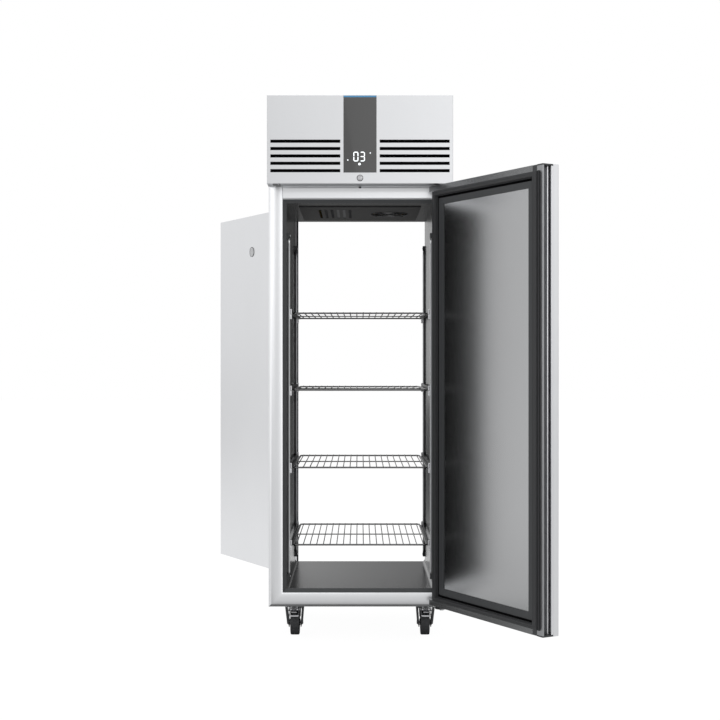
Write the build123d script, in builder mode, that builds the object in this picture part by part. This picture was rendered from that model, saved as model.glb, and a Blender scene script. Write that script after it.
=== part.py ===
from build123d import *
import os
from math import asin, cos, degrees, radians, sin, sqrt

# Pass-through refrigerated cabinet with a full-height door on each side.
# Millimetres. The origin is on the floor under the middle of the cabinet,
# +Z is up and -Y is the front, where the controls are.

# Overall size: width, depth over the two closed doors, height on its castors
WIDTH = 700
DEPTH = 876
HEIGHT = 2080

# Levels above the floor
BODY_BOTTOM = 139.5
OPENING_BOTTOM = 195.3
LINER_FLOOR = 210
LINER_CEILING = 1684
OPENING_TOP = 1698.4
HEADER_BOTTOM = 1747

# Half widths and distances from the middle
HALF_WIDTH = WIDTH / 2
HALF_DEPTH = DEPTH / 2
HALF_OPENING = 295
HALF_LINER = 281
FRAME_FACE = 355
FRAME_DEPTH = 14
FRAME_BACK = FRAME_FACE - FRAME_DEPTH

# Sheet metal
SHEET = 1
FOLD = 1.5
EDGE_ROUND = 5
EDGE_BEVEL = 5
COVE = 25
BULLNOSE = 12
SEAM = 0.2

# Rounds that carry no joint are drawn with flats, so that the model stays light
MANY_FLATS = 24
FLATS = 12
FEW_FLATS = 8

# Strips that bridge the frame and the liner, and the liner's coved floor
BREAKER_BACK = 2
FLOOR_COVE = 12

# Air duct opening in the ceiling, its panel and the hood over the evaporator
DUCT_HALF = 200
DUCT_PANEL_WIDTH = 476
DUCT_PANEL_DEPTH = 490
DUCT_PANEL_Z = 1680
FAN_X = 120
FAN_RADIUS = 72
THROAT = 75
SHROUD_BACK = 34
SHROUD_THICK = 2
HUB_RADIUS = 20
HUB_DEPTH = 12
SHAFT_RADIUS = 3
SHAFT_REACH = 26
BLADES = 5
BLADE_PITCH = 28
BLADE_THICK = 1.8
BLADE_ROOT = 10
BLADE_LEAD = 22
BLADE_TRAIL = 16
MOTOR_RADIUS = 22
MOTOR_START = 18
MOTOR_TOP = 1768
MOTOR_REACH = 82
MOTOR_BRACKET = 30
EVAPORATOR_FAN_Z = 1710
RETURN_SLOTS = 6
RETURN_PITCH = 24
RETURN_SLOT = (10, 300)
RETURN_X = -100
HOOD_HALF = 210
HOOD_TOP = 1815

# Header with its two fascias
RETURN_DEPTH = 18
SLOT_COUNT = 5
SLOT_PITCH = 27.7
SLOT_HEIGHT = 12
SLOT_INNER = 74
SLOT_OUTER = 337
SLOT_MIDDLE = 1851
SCREEN_BACK = 10
SCREEN_LAP = 6
CONTROL_HALF = 62
CONTROL_BOTTOM = 1790
CONTROL_PROUD = 0.6

# Key lock and its bolt
LOCK_Z = 1768
LOCK_RADIUS = 9
LOCK_RING = 11.5
LOCK_DEPTH = 20
BOLT_Y = -411
BOLT_RADIUS = 4
BOLT_POCKET = 5.5
CRANK = 10
CRANK_THICK = 3
CRANK_WIDTH = 8
LOCK_FLANGE = 1.6
KEY_SLOT = (2.2, 9)
CROSSHEAD_WIDTH = 22
CROSSHEAD_HEIGHT = 14
CROSSHEAD_THICK = 4
CROSSHEAD_SLOT = 7.6
DRIVE_PIN = 1.5

# Door switches
SWITCH_Y = 365
SWITCH_RADIUS = 5.2
SWITCH_HANG = 6.5
SWITCH_TIP = 1.5

# Doors. In a door's own plan, n runs from the hinge axis to the free edge
# and t runs towards the outside of the door
HINGE_X = 309.5
HINGE_Y = 402
DOOR_OPEN = 120
DOOR_BOTTOM = 154
DOOR_TOP = 1743
SKIN_OUT = 36
SKIN_IN = -31
HINGE_EDGE = -39.5
FREE_EDGE = 659.5
HINGE_ROUND = 18
CHAMFER_START = -11
CHAMFER_END = -3
LIP_BACK = 12.2
CHANNEL_BACK = 627
CHANNEL_WALL = 3
ARM_EDGE = 658
ARM_FACE = -24.5
RIB_EDGE = 640
RIB_NEAR = 2.4
RIB_FAR = 10
CAP_START = 602
CAP_THICK = 5
STRIP_TOP = 1721
STRIP_BOTTOM = 175
FRAME_THICK = 4
RIDGE = 3
RIDGE_SHARE = 0.43
PANEL = (62, 229.5, 583.4, 1667)
FRAME_OUTLINE = (-9.5, STRIP_BOTTOM, CHANNEL_BACK, STRIP_TOP)
GASKET_OUTLINE = (-1, STRIP_BOTTOM, 642, STRIP_TOP)
GASKET_OPENING = (24, 195.3, 613.5, 1698.8)
GASKET_BASE = 6
GASKET_DEPTH = 15.4
BADGE_N = 307
BADGE_Z = 1578
BADGE_RADIUS = 22.5
BADGE_THICK = 1.6
BADGE_RIM = 2.5
BADGE_DISH = 0.6

# Hinge hardware
PIN_RADIUS = 5
FIT = 0.05
BUSH_RADIUS = 10
BUSH_COLLAR = 11
BUSH_DEPTH = 22
BORE_DEPTH = 19
BUSH_SIDES = 6
BRACKET_Z = 143.5
BRACKET_THICK = 4
BRACKET_REACH = 425
BRACKET_WIDTH = 50
TOP_PLATE_THICK = 3
TOP_PLATE = (297, -424, 335, -362)
BLANK_PLATE = (-329, -430, -301, -360)
PLATE_CORNER = 4
PIN_HEAD = 8.5
PIN_HEAD_THICK = 6.5
PIN_REACH = 18
SWING_RADIUS = 46.9

# Racking and shelves
UPRIGHT_Y = (-300, 294)
UPRIGHT_LOW = 259
UPRIGHT_HIGH = 1554
UPRIGHT_WIDTH = 20
UPRIGHT_DEPTH = 11
CLIP_HEIGHT = 20
SHELF_LEVELS = (375, 672, 970, 1265)
SHELF_HALF_WIDTH = 260
SHELF_HALF_DEPTH = 325
RAIL = 7
WIRE = 4
CROSS_BAR = 5
WIRE_COUNT = 20
WIRE_PITCH = 25.6
RUNNER_EDGE = 254.2
RUNNER_LIP = 12
RUNNER_END = 315
HOOK = (2, 16, 38)
HOOK_DROP = 4

# Compressor shell, condenser and evaporator coils
FOOT_HEIGHT = 14
COMPRESSOR_BASE = HEADER_BOTTOM + FOLD + FOOT_HEIGHT
COMPRESSOR_PLACE = (-200, 325)
SHELL_RADIUS = 82
SHELL_HEIGHT = 180
SHELL_SEAM = 8
BASE_PLATE = (170, 130)
FEET_GRID = (140, 100)
FOOT_RADIUS = 11
CONDENSER_X = -200
CONDENSER_Y = -375
CONDENSER_WIDTH = 260
CONDENSER_HEIGHT = 160
CONDENSER_DEPTH = 42
CONDENSER_Z = HEADER_BOTTOM + FOLD + CONDENSER_HEIGHT / 2
CONDENSER_FAN_Y = -318
EVAPORATOR_PLACE = (-80, 0)
EVAPORATOR_WIDTH = 320
EVAPORATOR_DEPTH = 150
EVAPORATOR_HEIGHT = 80
FINS = 12
FIN_THICK = 1.2

# Control box with the power inlet, drip tray and pipes in the header
CONTROL_BOX = (90, -405, 320, -260)
CONTROL_BOX_TOP = 1870
LID_LAP = 5
INLET_PLACE = (280, 330)
INLET_SIZE = (40, 30)
INLET_DEPTH = 40
INLET_FLANGE = 10
INLET_POCKET = 14
TRAY_PLACE = (130, 325)
TRAY_SIZE = (300, 160)
TRAY_HEIGHT = 28
TRAY_CORNER = 10
PIPE_RADIUS = 4
DISCHARGE_X = -215
DISCHARGE_SIDE = -335
DISCHARGE_TOP = 1990
LIQUID_X = -40
LIQUID_Y = -290
LIQUID_LOW = 1800
LIQUID_HIGH = 1850
COIL_STUB_Y = 60
SUCTION_Z = 1870

# Castors: the four swivel axes, the mounting plate and its races
CASTORS = {"fl": (-256, -215), "fr": (256, -215), "rl": (-268, 215), "rr": (268, 215)}
PLATE_SIZE = (100, 85)
PLATE_BOLTS = (80, 60)
PLATE_THICK = 4
BOLT_HEAD = 7
UPPER_RACE = 30
LOWER_RACE = 27
RACE_TOP = 128
KINGPIN_RADIUS = 6
KINGPIN_NUT = 10

# Fork and wheel
TRAIL = 35
CROWN_Z = 118
CROWN_THICK = 3
CROWN_RADIUS = 34.5
LEG_THICK = 3
LEG_TOP = 34
LEG_INSIDE = 22
LEG_END = 20
LEG_SLANT = 14
BOSS_THICK = 6
BOSS_RADIUS = 12
AXLE_BOLT = 4.8
AXLE_NUT = 9
WHEEL_RADIUS = 50
WHEEL_HALF = 17.5
TREAD_CHAMFER = 3
RIM_INSIDE = 38
WEB_HALF = 9
HUB_OUTSIDE = 13
HUB_HALF = 21

# Foot brakes of the two front castors
BRAKED = ("fl", "fr")
EAR_INSIDE = 19.4
PIVOT_Z = 110
PIVOT_AHEAD = 30
PIVOT_RADIUS = 3
PIVOT_WAIST = 4
EAR_ROOT = 10
EAR_TIP = 6
PEDAL_AHEAD = 66
PEDAL_WIDTH = 37
PEDAL_Z = 89
TONGUE_WIDTH = 20
TONGUE_Z = 103
ARM_THICK = 3
BAR = 5

SIDES = {"front": 1, "rear": -1}

os.makedirs("parts", exist_ok=True)


def plan(side, z=0):
    """Horizontal plane; its -y points out of the given side."""
    turn = SIDES[side]
    return Plane(origin=(0, 0, z), x_dir=(turn, 0, 0), z_dir=(0, 0, 1))


def section(side, x):
    """Upright plane across a rail; its -x points out of the given side, y is up."""
    turn = SIDES[side]
    return Plane(origin=(turn * x, 0, 0), x_dir=(0, turn, 0), z_dir=(turn, 0, 0))


def elevation(side, distance):
    """Upright plane as seen by someone who stands on the given side; y is up."""
    turn = SIDES[side]
    return Plane(origin=(0, -turn * distance, 0), x_dir=(turn, 0, 0), z_dir=(0, -turn, 0))


def corner(sketch, x, y):
    """The vertex of a sketch that lies nearest to a point."""
    return sketch.vertices().sort_by_distance((x, y))[0]


def block(low, high, mode=Mode.ADD):
    """A box between two opposite corners."""
    size = [b - a for a, b in zip(low, high)]
    middle = tuple((a + b) / 2 for a, b in zip(low, high))
    with Locations(middle):
        Box(*size, mode=mode)


def outline(*points):
    """A closed outline of straight edges, filled, at its own coordinates."""
    Polygon(*points, align=None)


def mitred_ring(plane, opening, rim, start=0.0, end=1.0):
    """Four mitred bars round an opening; start and end are shares of the way to the rim."""
    near = [a + (b - a) * start for a, b in zip(opening, rim)]
    far = [a + (b - a) * end for a, b in zip(opening, rim)]
    with BuildSketch(plane) as ring:
        for low in (1, 3):
            outline((far[0] + SEAM, far[low]), (far[2] - SEAM, far[low]),
                    (near[2] - SEAM, near[low]), (near[0] + SEAM, near[low]))
        for hand in (0, 2):
            outline((far[hand], far[1]), (near[hand], near[1]),
                    (near[hand], near[3]), (far[hand], far[3]))
    return ring.sketch


def save(piece, name):
    piece.part.label = name
    export_step(piece.part, f"parts/{name}.step")


# Outer shell: two side skins and the base plate between them
with BuildPart() as outer_shell:
    for hand in (-1, 1):
        with Locations((hand * (HALF_WIDTH - SHEET / 2), 0, (BODY_BOTTOM + HEADER_BOTTOM) / 2)):
            Box(SHEET, 2 * FRAME_BACK, HEADER_BOTTOM - BODY_BOTTOM)
    with Locations((0, 0, BODY_BOTTOM + FOLD / 2)):
        Box(2 * (HALF_WIDTH - SHEET - SEAM), 2 * FRAME_BACK, FOLD)
save(outer_shell, "outer_shell")


# Insulation: two walls, the floor, and four bars round the air duct
liner_back = HALF_LINER + SHEET
foam_bottom = BODY_BOTTOM + FOLD
foam_ceiling = LINER_CEILING + SHEET
with BuildPart() as insulation:
    for hand in (-1, 1):
        wall = HALF_WIDTH - SHEET - liner_back - SEAM
        with Locations((hand * (liner_back + SEAM + wall / 2), 0, (foam_bottom + HEADER_BOTTOM) / 2)):
            Box(wall, 2 * FRAME_BACK, HEADER_BOTTOM - foam_bottom)
    with Locations((0, 0, (foam_bottom + LINER_FLOOR - SHEET) / 2)):
        Box(2 * liner_back, 2 * FRAME_BACK, LINER_FLOOR - SHEET - foam_bottom)
    for turn in (-1, 1):
        with Locations((0, turn * (DUCT_HALF + FRAME_BACK) / 2, (foam_ceiling + HEADER_BOTTOM) / 2)):
            Box(2 * liner_back, FRAME_BACK - DUCT_HALF, HEADER_BOTTOM - foam_ceiling)
        with Locations((turn * (DUCT_HALF + liner_back) / 2, 0, (foam_ceiling + HEADER_BOTTOM) / 2)):
            Box(liner_back - DUCT_HALF, 2 * (DUCT_HALF - SEAM), HEADER_BOTTOM - foam_ceiling)
save(insulation, "insulation")


# Inner liner: a folded tube with a coved floor and the duct opening in its ceiling
with BuildPart() as inner_liner:
    for inset, mode in ((0, Mode.ADD), (SHEET, Mode.SUBTRACT)):
        with BuildSketch(elevation("front", FRAME_BACK)) as tube:
            with Locations((0, (LINER_FLOOR + LINER_CEILING) / 2)):
                Rectangle(2 * (liner_back - inset), LINER_CEILING - LINER_FLOOR + 2 * (SHEET - inset))
            fillet(tube.vertices().group_by(Axis.Y)[0], FLOOR_COVE + SHEET - inset)
        extrude(amount=-2 * FRAME_BACK, mode=mode)
    with Locations((0, 0, LINER_CEILING)):
        Box(2 * DUCT_HALF, 2 * DUCT_HALF, 4 * SHEET, mode=Mode.SUBTRACT)
save(inner_liner, "inner_liner")


def jamb_outline(side, hand, inset):
    """Plan of one jamb: rounded at the cabinet's edge, bevelled at the opening."""
    near = HALF_OPENING + inset
    far = HALF_WIDTH - inset
    face = -FRAME_FACE + inset
    with BuildSketch(plan(side, BODY_BOTTOM)) as jamb:
        with Locations((hand * (near + far) / 2, (face - FRAME_BACK) / 2)):
            Rectangle(far - near, -FRAME_BACK - face)
        fillet(corner(jamb, hand * far, face), EDGE_ROUND - inset)
        chamfer(corner(jamb, hand * near, face), EDGE_BEVEL - inset * (2 - sqrt(2)))
    return jamb.sketch


def top_rail_outline(side, inset):
    """Section of the top rail, which sweeps forward under the header in a cove."""
    face = -FRAME_FACE + inset
    bevel = EDGE_BEVEL - inset * (2 - sqrt(2))
    low = OPENING_TOP + inset
    radius = COVE + inset
    sweep = asin((COVE - inset) / radius)
    tip = -FRAME_FACE - COVE + radius * cos(sweep)
    with BuildSketch(section(side, -HALF_OPENING + SEAM)) as rail:
        with BuildLine():
            Polyline((tip, HEADER_BOTTOM - inset), (-FRAME_BACK, HEADER_BOTTOM - inset),
                     (-FRAME_BACK, low), (face + bevel, low), (face, low + bevel),
                     (face, HEADER_BOTTOM - COVE))
            CenterArc((-FRAME_FACE - COVE, HEADER_BOTTOM - COVE), radius, 0, degrees(sweep))
        make_face()
    return rail.sketch


def bottom_rail_outline(side, inset):
    """Section of the bottom rail, with its rounded lower edge."""
    face = -FRAME_FACE + inset
    low = BODY_BOTTOM + inset
    high = OPENING_BOTTOM - inset
    with BuildSketch(section(side, -HALF_OPENING + SEAM)) as rail:
        with Locations(((face - FRAME_BACK) / 2, (low + high) / 2)):
            Rectangle(-FRAME_BACK - face, high - low)
        fillet(corner(rail, face, low), BULLNOSE - inset)
        chamfer(corner(rail, face, high), EDGE_BEVEL - inset * (2 - sqrt(2)))
    return rail.sketch


def make_frame(side):
    """Front or rear frame: two jambs and two rails, folded from sheet and open to the foam."""
    rail_length = 2 * (HALF_OPENING - SEAM)
    with BuildPart() as bars:
        for inset, mode in ((0, Mode.ADD), (FOLD, Mode.SUBTRACT)):
            for hand in (-1, 1):
                extrude(jamb_outline(side, hand, inset), amount=HEADER_BOTTOM - BODY_BOTTOM, mode=mode)
            for rail in (top_rail_outline(side, inset), bottom_rail_outline(side, inset)):
                extrude(rail, amount=rail_length, mode=mode)
        # The cove is cut back where the corner of the door swings past it
        with BuildSketch(plan(side, HEADER_BOTTOM)):
            with Locations((HINGE_X, -HINGE_Y)):
                Circle(SWING_RADIUS)
        extrude(amount=-COVE, mode=Mode.SUBTRACT)
    return bars


for side in SIDES:
    save(make_frame(side), f"{side}_frame")


# Breaker strips: four mitred plastic strips on each side, sloping in to the liner
with BuildPart() as breaker_strips:
    frame_opening = (-HALF_OPENING, OPENING_BOTTOM, HALF_OPENING, OPENING_TOP)
    liner_opening = (-HALF_LINER, LINER_FLOOR, HALF_LINER, LINER_CEILING)
    for side in SIDES:
        strips = mitred_ring(elevation(side, FRAME_BACK), liner_opening, frame_opening)
        extrude(strips, amount=FRAME_DEPTH - EDGE_BEVEL)
        for distance, (left, low, right, high) in (
            (FRAME_BACK + BREAKER_BACK, liner_opening),
            (FRAME_FACE - EDGE_BEVEL, frame_opening),
        ):
            with BuildSketch(elevation(side, distance)):
                with Locations(((left + right) / 2, (low + high) / 2)):
                    Rectangle(right - left, high - low)
        loft(ruled=True, mode=Mode.SUBTRACT)
save(breaker_strips, "breaker_strips")


# Header: top panel and side panels, one solid each
with BuildPart() as unit_cover:
    cover_half = HALF_DEPTH - RETURN_DEPTH
    with Locations((0, 0, HEIGHT - FOLD / 2)):
        Box(WIDTH, 2 * cover_half, FOLD)
    with Locations((*INLET_PLACE, HEIGHT - FOLD / 2)):
        Box(*INLET_SIZE, FOLD, mode=Mode.SUBTRACT)
    for hand in (-1, 1):
        side_height = HEIGHT - FOLD - SEAM - HEADER_BOTTOM
        with Locations((hand * (HALF_WIDTH - FOLD / 2), 0, HEADER_BOTTOM + side_height / 2)):
            Box(FOLD, 2 * cover_half, side_height)
save(unit_cover, "unit_cover")


def make_fascia(side):
    """Header fascia: a shallow folded tray with louvre slots; the front one holds the controls."""
    with BuildPart() as fascia:
        for inset, mode in ((0, Mode.ADD), (FOLD, Mode.SUBTRACT)):
            with BuildSketch(elevation(side, HALF_DEPTH - inset)):
                with Locations((0, (HEADER_BOTTOM + HEIGHT) / 2)):
                    Rectangle(WIDTH - 2 * inset, HEIGHT - HEADER_BOTTOM - 2 * inset)
            extrude(amount=-RETURN_DEPTH + inset, mode=mode)
        front_edges = fascia.faces().sort_by(Axis.Y)[0 if side == "front" else -1].outer_wire().edges()
        chamfer(front_edges, FOLD - SEAM)
        with BuildSketch(elevation(side, HALF_DEPTH)):
            with Locations((0, SLOT_MIDDLE)):
                with GridLocations(SLOT_OUTER + SLOT_INNER, SLOT_PITCH, 2, SLOT_COUNT):
                    Rectangle(SLOT_OUTER - SLOT_INNER, SLOT_HEIGHT)
            if side == "front":
                with Locations((0, (CONTROL_BOTTOM + HEIGHT) / 2 - FOLD)):
                    Rectangle(2 * (CONTROL_HALF + SEAM), HEIGHT - CONTROL_BOTTOM)
                with Locations((0, LOCK_Z)):
                    Circle(LOCK_RADIUS + FIT)
        extrude(amount=-FOLD, mode=Mode.SUBTRACT)
    return fascia


for side in SIDES:
    save(make_fascia(side), f"{side}_fascia")


# Unit deck: the sheet under the header and the insulated hood over the evaporator
with BuildPart() as unit_deck:
    with Locations((0, 0, HEADER_BOTTOM + FOLD / 2)):
        Box(2 * (HALF_WIDTH - FOLD - SEAM), 2 * cover_half, FOLD)
        Box(2 * DUCT_HALF, 2 * DUCT_HALF, FOLD, mode=Mode.SUBTRACT)
    with BuildSketch(Plane.XY.offset(HEADER_BOTTOM)):
        with Locations((0, BOLT_Y)):
            RegularPolygon(BOLT_RADIUS + FIT, FEW_FLATS)
    extrude(amount=FOLD, mode=Mode.SUBTRACT)
    for inset, mode in ((0, Mode.ADD), (2 * FOLD, Mode.SUBTRACT)):
        with BuildSketch(Plane.XY.offset(HEADER_BOTTOM + FOLD + SEAM)) as hood:
            Rectangle(2 * (HOOD_HALF - inset), 2 * (HOOD_HALF - inset))
            chamfer(hood.vertices(), FLOOR_COVE)
        extrude(amount=HOOD_TOP - HEADER_BOTTOM - FOLD - SEAM - inset, mode=mode)
save(unit_deck, "unit_deck")


# Control panel: a flush dark glass strip in the middle of the front fascia
with BuildPart() as control_panel:
    with BuildSketch(elevation("front", HALF_DEPTH + CONTROL_PROUD)) as glass:
        with Locations((0, (CONTROL_BOTTOM + HEIGHT) / 2 - FOLD)):
            Rectangle(2 * CONTROL_HALF, HEIGHT - CONTROL_BOTTOM - SEAM)
    extrude(amount=-6)
    chamfer(control_panel.faces().sort_by(Axis.Y)[0].edges(), CONTROL_PROUD / 2)
save(control_panel, "control_panel")


# Louvre screens: a black filter sheet behind each group of slots, so that nobody sees in
with BuildPart() as louvre_screens:
    screen_x = (SLOT_INNER + SLOT_OUTER) / 2
    for side in SIDES:
        with BuildSketch(elevation(side, HALF_DEPTH - SCREEN_BACK)):
            with Locations((-screen_x, SLOT_MIDDLE), (screen_x, SLOT_MIDDLE)):
                Rectangle(SLOT_OUTER - SLOT_INNER + SCREEN_LAP, SLOT_COUNT * SLOT_PITCH)
        extrude(amount=-FOLD)
save(louvre_screens, "louvre_screens")


# Lock barrel: flange, key slot, and a crank with a pin at its rear end
with BuildPart() as lock_barrel:
    with BuildSketch(elevation("front", HALF_DEPTH + FIT)):
        with Locations((0, LOCK_Z)):
            RegularPolygon(LOCK_RADIUS, FLATS)
    extrude(amount=-LOCK_DEPTH - FIT)
    with BuildSketch(elevation("front", HALF_DEPTH + FIT)):
        with Locations((0, LOCK_Z)):
            RegularPolygon(LOCK_RING, FLATS)
    extrude(amount=LOCK_FLANGE, taper=20)
    with BuildSketch(elevation("front", HALF_DEPTH - LOCK_DEPTH)):
        with Locations((CRANK / 2, LOCK_Z)):
            Rectangle(CRANK + CRANK_WIDTH, CRANK_WIDTH)
    extrude(amount=-CRANK_THICK)
    with BuildSketch(elevation("front", HALF_DEPTH - LOCK_DEPTH - CRANK_THICK)):
        with Locations((CRANK, LOCK_Z)):
            RegularPolygon(DRIVE_PIN, FEW_FLATS)
    extrude(amount=-2 * CRANK_THICK)
    with BuildSketch(elevation("front", HALF_DEPTH + 2 * LOCK_FLANGE)):
        with Locations((0, LOCK_Z)):
            Rectangle(*KEY_SLOT)
    extrude(amount=-5 * LOCK_FLANGE, mode=Mode.SUBTRACT)
save(lock_barrel, "lock_barrel")


# Lock bolt: a pin through the deck, with a slotted crosshead that the crank drives
with BuildPart() as lock_bolt:
    with BuildSketch(Plane.XY.offset(HEADER_BOTTOM + 0.5)):
        with Locations((0, BOLT_Y)):
            RegularPolygon(BOLT_RADIUS, FEW_FLATS)
    extrude(amount=LOCK_Z - CROSSHEAD_HEIGHT / 2 - HEADER_BOTTOM)
    with BuildSketch(elevation("front", -BOLT_Y + CROSSHEAD_THICK / 2)):
        with Locations((CRANK / 2, LOCK_Z)):
            Rectangle(CROSSHEAD_WIDTH, CROSSHEAD_HEIGHT)
            Rectangle(CROSSHEAD_WIDTH - BOLT_RADIUS, CROSSHEAD_SLOT, mode=Mode.SUBTRACT)
    extrude(amount=-CROSSHEAD_THICK)
save(lock_bolt, "lock_bolt")


# Door switches: magnetic sensors that hang under the header behind each closed door
with BuildPart() as door_switches:
    for side in SIDES:
        for top, depth, taper in ((0, SWITCH_HANG, 0), (SWITCH_HANG, SWITCH_TIP, 45)):
            with BuildSketch(plan(side, HEADER_BOTTOM - top)):
                with Locations((0, -SWITCH_Y)):
                    RegularPolygon(SWITCH_RADIUS, FEW_FLATS)
            extrude(amount=-depth, taper=taper)
        extrude(top_rail_outline(side, 0), amount=2 * HALF_OPENING, mode=Mode.SUBTRACT)
save(door_switches, "door_switches")


# Hinge plates: brackets below, plates above, and the blanking plates of the other hand
with BuildPart() as hinge_plates:
    for side in SIDES:
        with BuildSketch(plan(side, BRACKET_Z)) as bracket:
            with Locations((HINGE_X, -(FRAME_FACE + BRACKET_REACH) / 2)):
                Rectangle(BRACKET_WIDTH, BRACKET_REACH - FRAME_FACE)
            chamfer(bracket.vertices().group_by(Axis.Y)[0 if side == "front" else -1], 2 * PIN_RADIUS)
            with Locations((HINGE_X, -HINGE_Y)):
                RegularPolygon(PIN_RADIUS, BUSH_SIDES, mode=Mode.SUBTRACT)
        extrude(amount=BRACKET_THICK)
        with BuildSketch(elevation(side, FRAME_FACE)):
            with Locations((HINGE_X + BRACKET_WIDTH / 4, (BODY_BOTTOM + 2 + BRACKET_Z + BRACKET_THICK) / 2)):
                Rectangle(BRACKET_WIDTH / 2, BRACKET_Z + BRACKET_THICK - BODY_BOTTOM - 2)
        extrude(amount=TOP_PLATE_THICK)
        for (left, front, right, back), thick in ((TOP_PLATE, TOP_PLATE_THICK), (BLANK_PLATE, FOLD)):
            with BuildSketch(plan(side, HEADER_BOTTOM)) as plate:
                with Locations(((left + right) / 2, (front + back) / 2)):
                    Rectangle(right - left, back - front)
                chamfer(plate.vertices(), PLATE_CORNER)
                if right > 0:
                    with Locations((HINGE_X, -HINGE_Y)):
                        RegularPolygon(PIN_RADIUS, BUSH_SIDES, mode=Mode.SUBTRACT)
            extrude(amount=-thick)
save(hinge_plates, "hinge_plates")


# Hinge pins: a round pin with a head in each bracket, and a plain six-sided one in each top plate
with BuildPart() as hinge_pins:
    bracket_top = BRACKET_Z + BRACKET_THICK
    for side in SIDES:
        for z, radius, amount in (
            (BRACKET_Z, PIN_HEAD, -PIN_HEAD_THICK),
            (BRACKET_Z, PIN_RADIUS, BRACKET_THICK),
            (HEADER_BOTTOM, PIN_RADIUS, DOOR_TOP - PIN_REACH - HEADER_BOTTOM),
        ):
            with BuildSketch(plan(side, z)):
                with Locations((HINGE_X, -HINGE_Y)):
                    RegularPolygon(radius, BUSH_SIDES)
            extrude(amount=amount)
        with BuildSketch(plan(side, bracket_top)):
            with Locations((HINGE_X, -HINGE_Y)):
                Circle(PIN_RADIUS)
        extrude(amount=DOOR_BOTTOM + PIN_REACH - bracket_top)
save(hinge_pins, "hinge_pins")


class Door:
    """Planes of one door, which stands open at its rest position."""

    def __init__(self, side):
        turn = SIDES[side]
        angle = radians(180 - DOOR_OPEN)
        self.side = side
        self.axis = Vector(turn * HINGE_X, -turn * HINGE_Y, 0)
        self.n = Vector(turn * cos(angle), -turn * sin(angle), 0)
        self.t = Vector(turn * sin(angle), turn * cos(angle), 0)

    def plan(self, z):
        """Level plane; x is n and y is t."""
        return Plane(origin=self.axis + Vector(0, 0, z), x_dir=self.n, z_dir=(0, 0, 1))

    def face(self, t):
        """Upright plane seen from the inside of the door; x is n and y is up."""
        return Plane(origin=self.axis + self.t * t, x_dir=self.n, z_dir=-self.t)


def chamfer_point(inset, n=None, t=None):
    """A point on the hinge-side chamfer, moved into the door by an inset."""
    run = CHAMFER_START - HINGE_EDGE
    fall = SKIN_IN - CHAMFER_END
    length = sqrt(run ** 2 + fall ** 2)
    start_n = HINGE_EDGE - inset * fall / length
    start_t = CHAMFER_END + inset * run / length
    if n is None:
        return (start_n + (t - start_t) * run / fall, t)
    return (n, start_t + (n - start_n) * fall / run)


def door_core(inset, inner, lip_start):
    """Corner points of the door's section, inset from the outside of its skin."""
    return [
        chamfer_point(inset, t=inner),
        chamfer_point(inset, n=HINGE_EDGE + inset),
        (HINGE_EDGE + inset, SKIN_OUT - inset),
        (FREE_EDGE - inset, SKIN_OUT - inset),
        (FREE_EDGE - inset, LIP_BACK + inset),
        (lip_start, LIP_BACK + inset),
    ]


def round_core(sketch, inset):
    """Rounds the corners that the folded skin has at the hinge and at the free edge."""
    fillet(corner(sketch, HINGE_EDGE + inset, SKIN_OUT - inset), HINGE_ROUND - inset)
    fillet(corner(sketch, FREE_EDGE - inset, SKIN_OUT - inset), 3 - inset)


def make_skin(door):
    """Outer skin: one folded sheet, closed at the top and bottom, with a lip at each end."""
    with BuildPart() as skin:
        for inset, mode in ((0, Mode.ADD), (SHEET, Mode.SUBTRACT)):
            with BuildSketch(door.plan(DOOR_BOTTOM + inset)) as core:
                inner = SKIN_IN + inset
                outline(*door_core(inset, inner, CHANNEL_BACK), (CHANNEL_BACK, inner))
                round_core(core, inset)
            extrude(amount=DOOR_TOP - DOOR_BOTTOM - 2 * inset, mode=mode)
        # The inside is open between the strips, and so is the wall behind the handle channel
        with BuildSketch(door.face(SKIN_IN + SHEET)):
            with Locations((CHANNEL_BACK / 2, (STRIP_TOP + STRIP_BOTTOM) / 2)):
                Rectangle(2 * CHANNEL_BACK, STRIP_TOP - STRIP_BOTTOM)
            for low, high in ((DOOR_BOTTOM, STRIP_BOTTOM), (STRIP_TOP, DOOR_TOP)):
                with Locations(((CAP_START + CHANNEL_BACK) / 2, (low + high) / 2)):
                    Rectangle(CHANNEL_BACK - CAP_START, high - low)
        extrude(amount=SHEET, mode=Mode.SUBTRACT)
        with BuildSketch(door.plan(DOOR_BOTTOM)):
            RegularPolygon(BUSH_RADIUS, BUSH_SIDES)
        extrude(amount=DOOR_TOP - DOOR_BOTTOM, mode=Mode.SUBTRACT)
        if door.side == "front":
            with BuildSketch(door.plan(DOOR_TOP)):
                with Locations((HINGE_X, -BOLT_Y - HINGE_Y)):
                    RegularPolygon(BOLT_POCKET, FEW_FLATS)
            extrude(amount=-SHEET, mode=Mode.SUBTRACT)
    return skin


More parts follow.
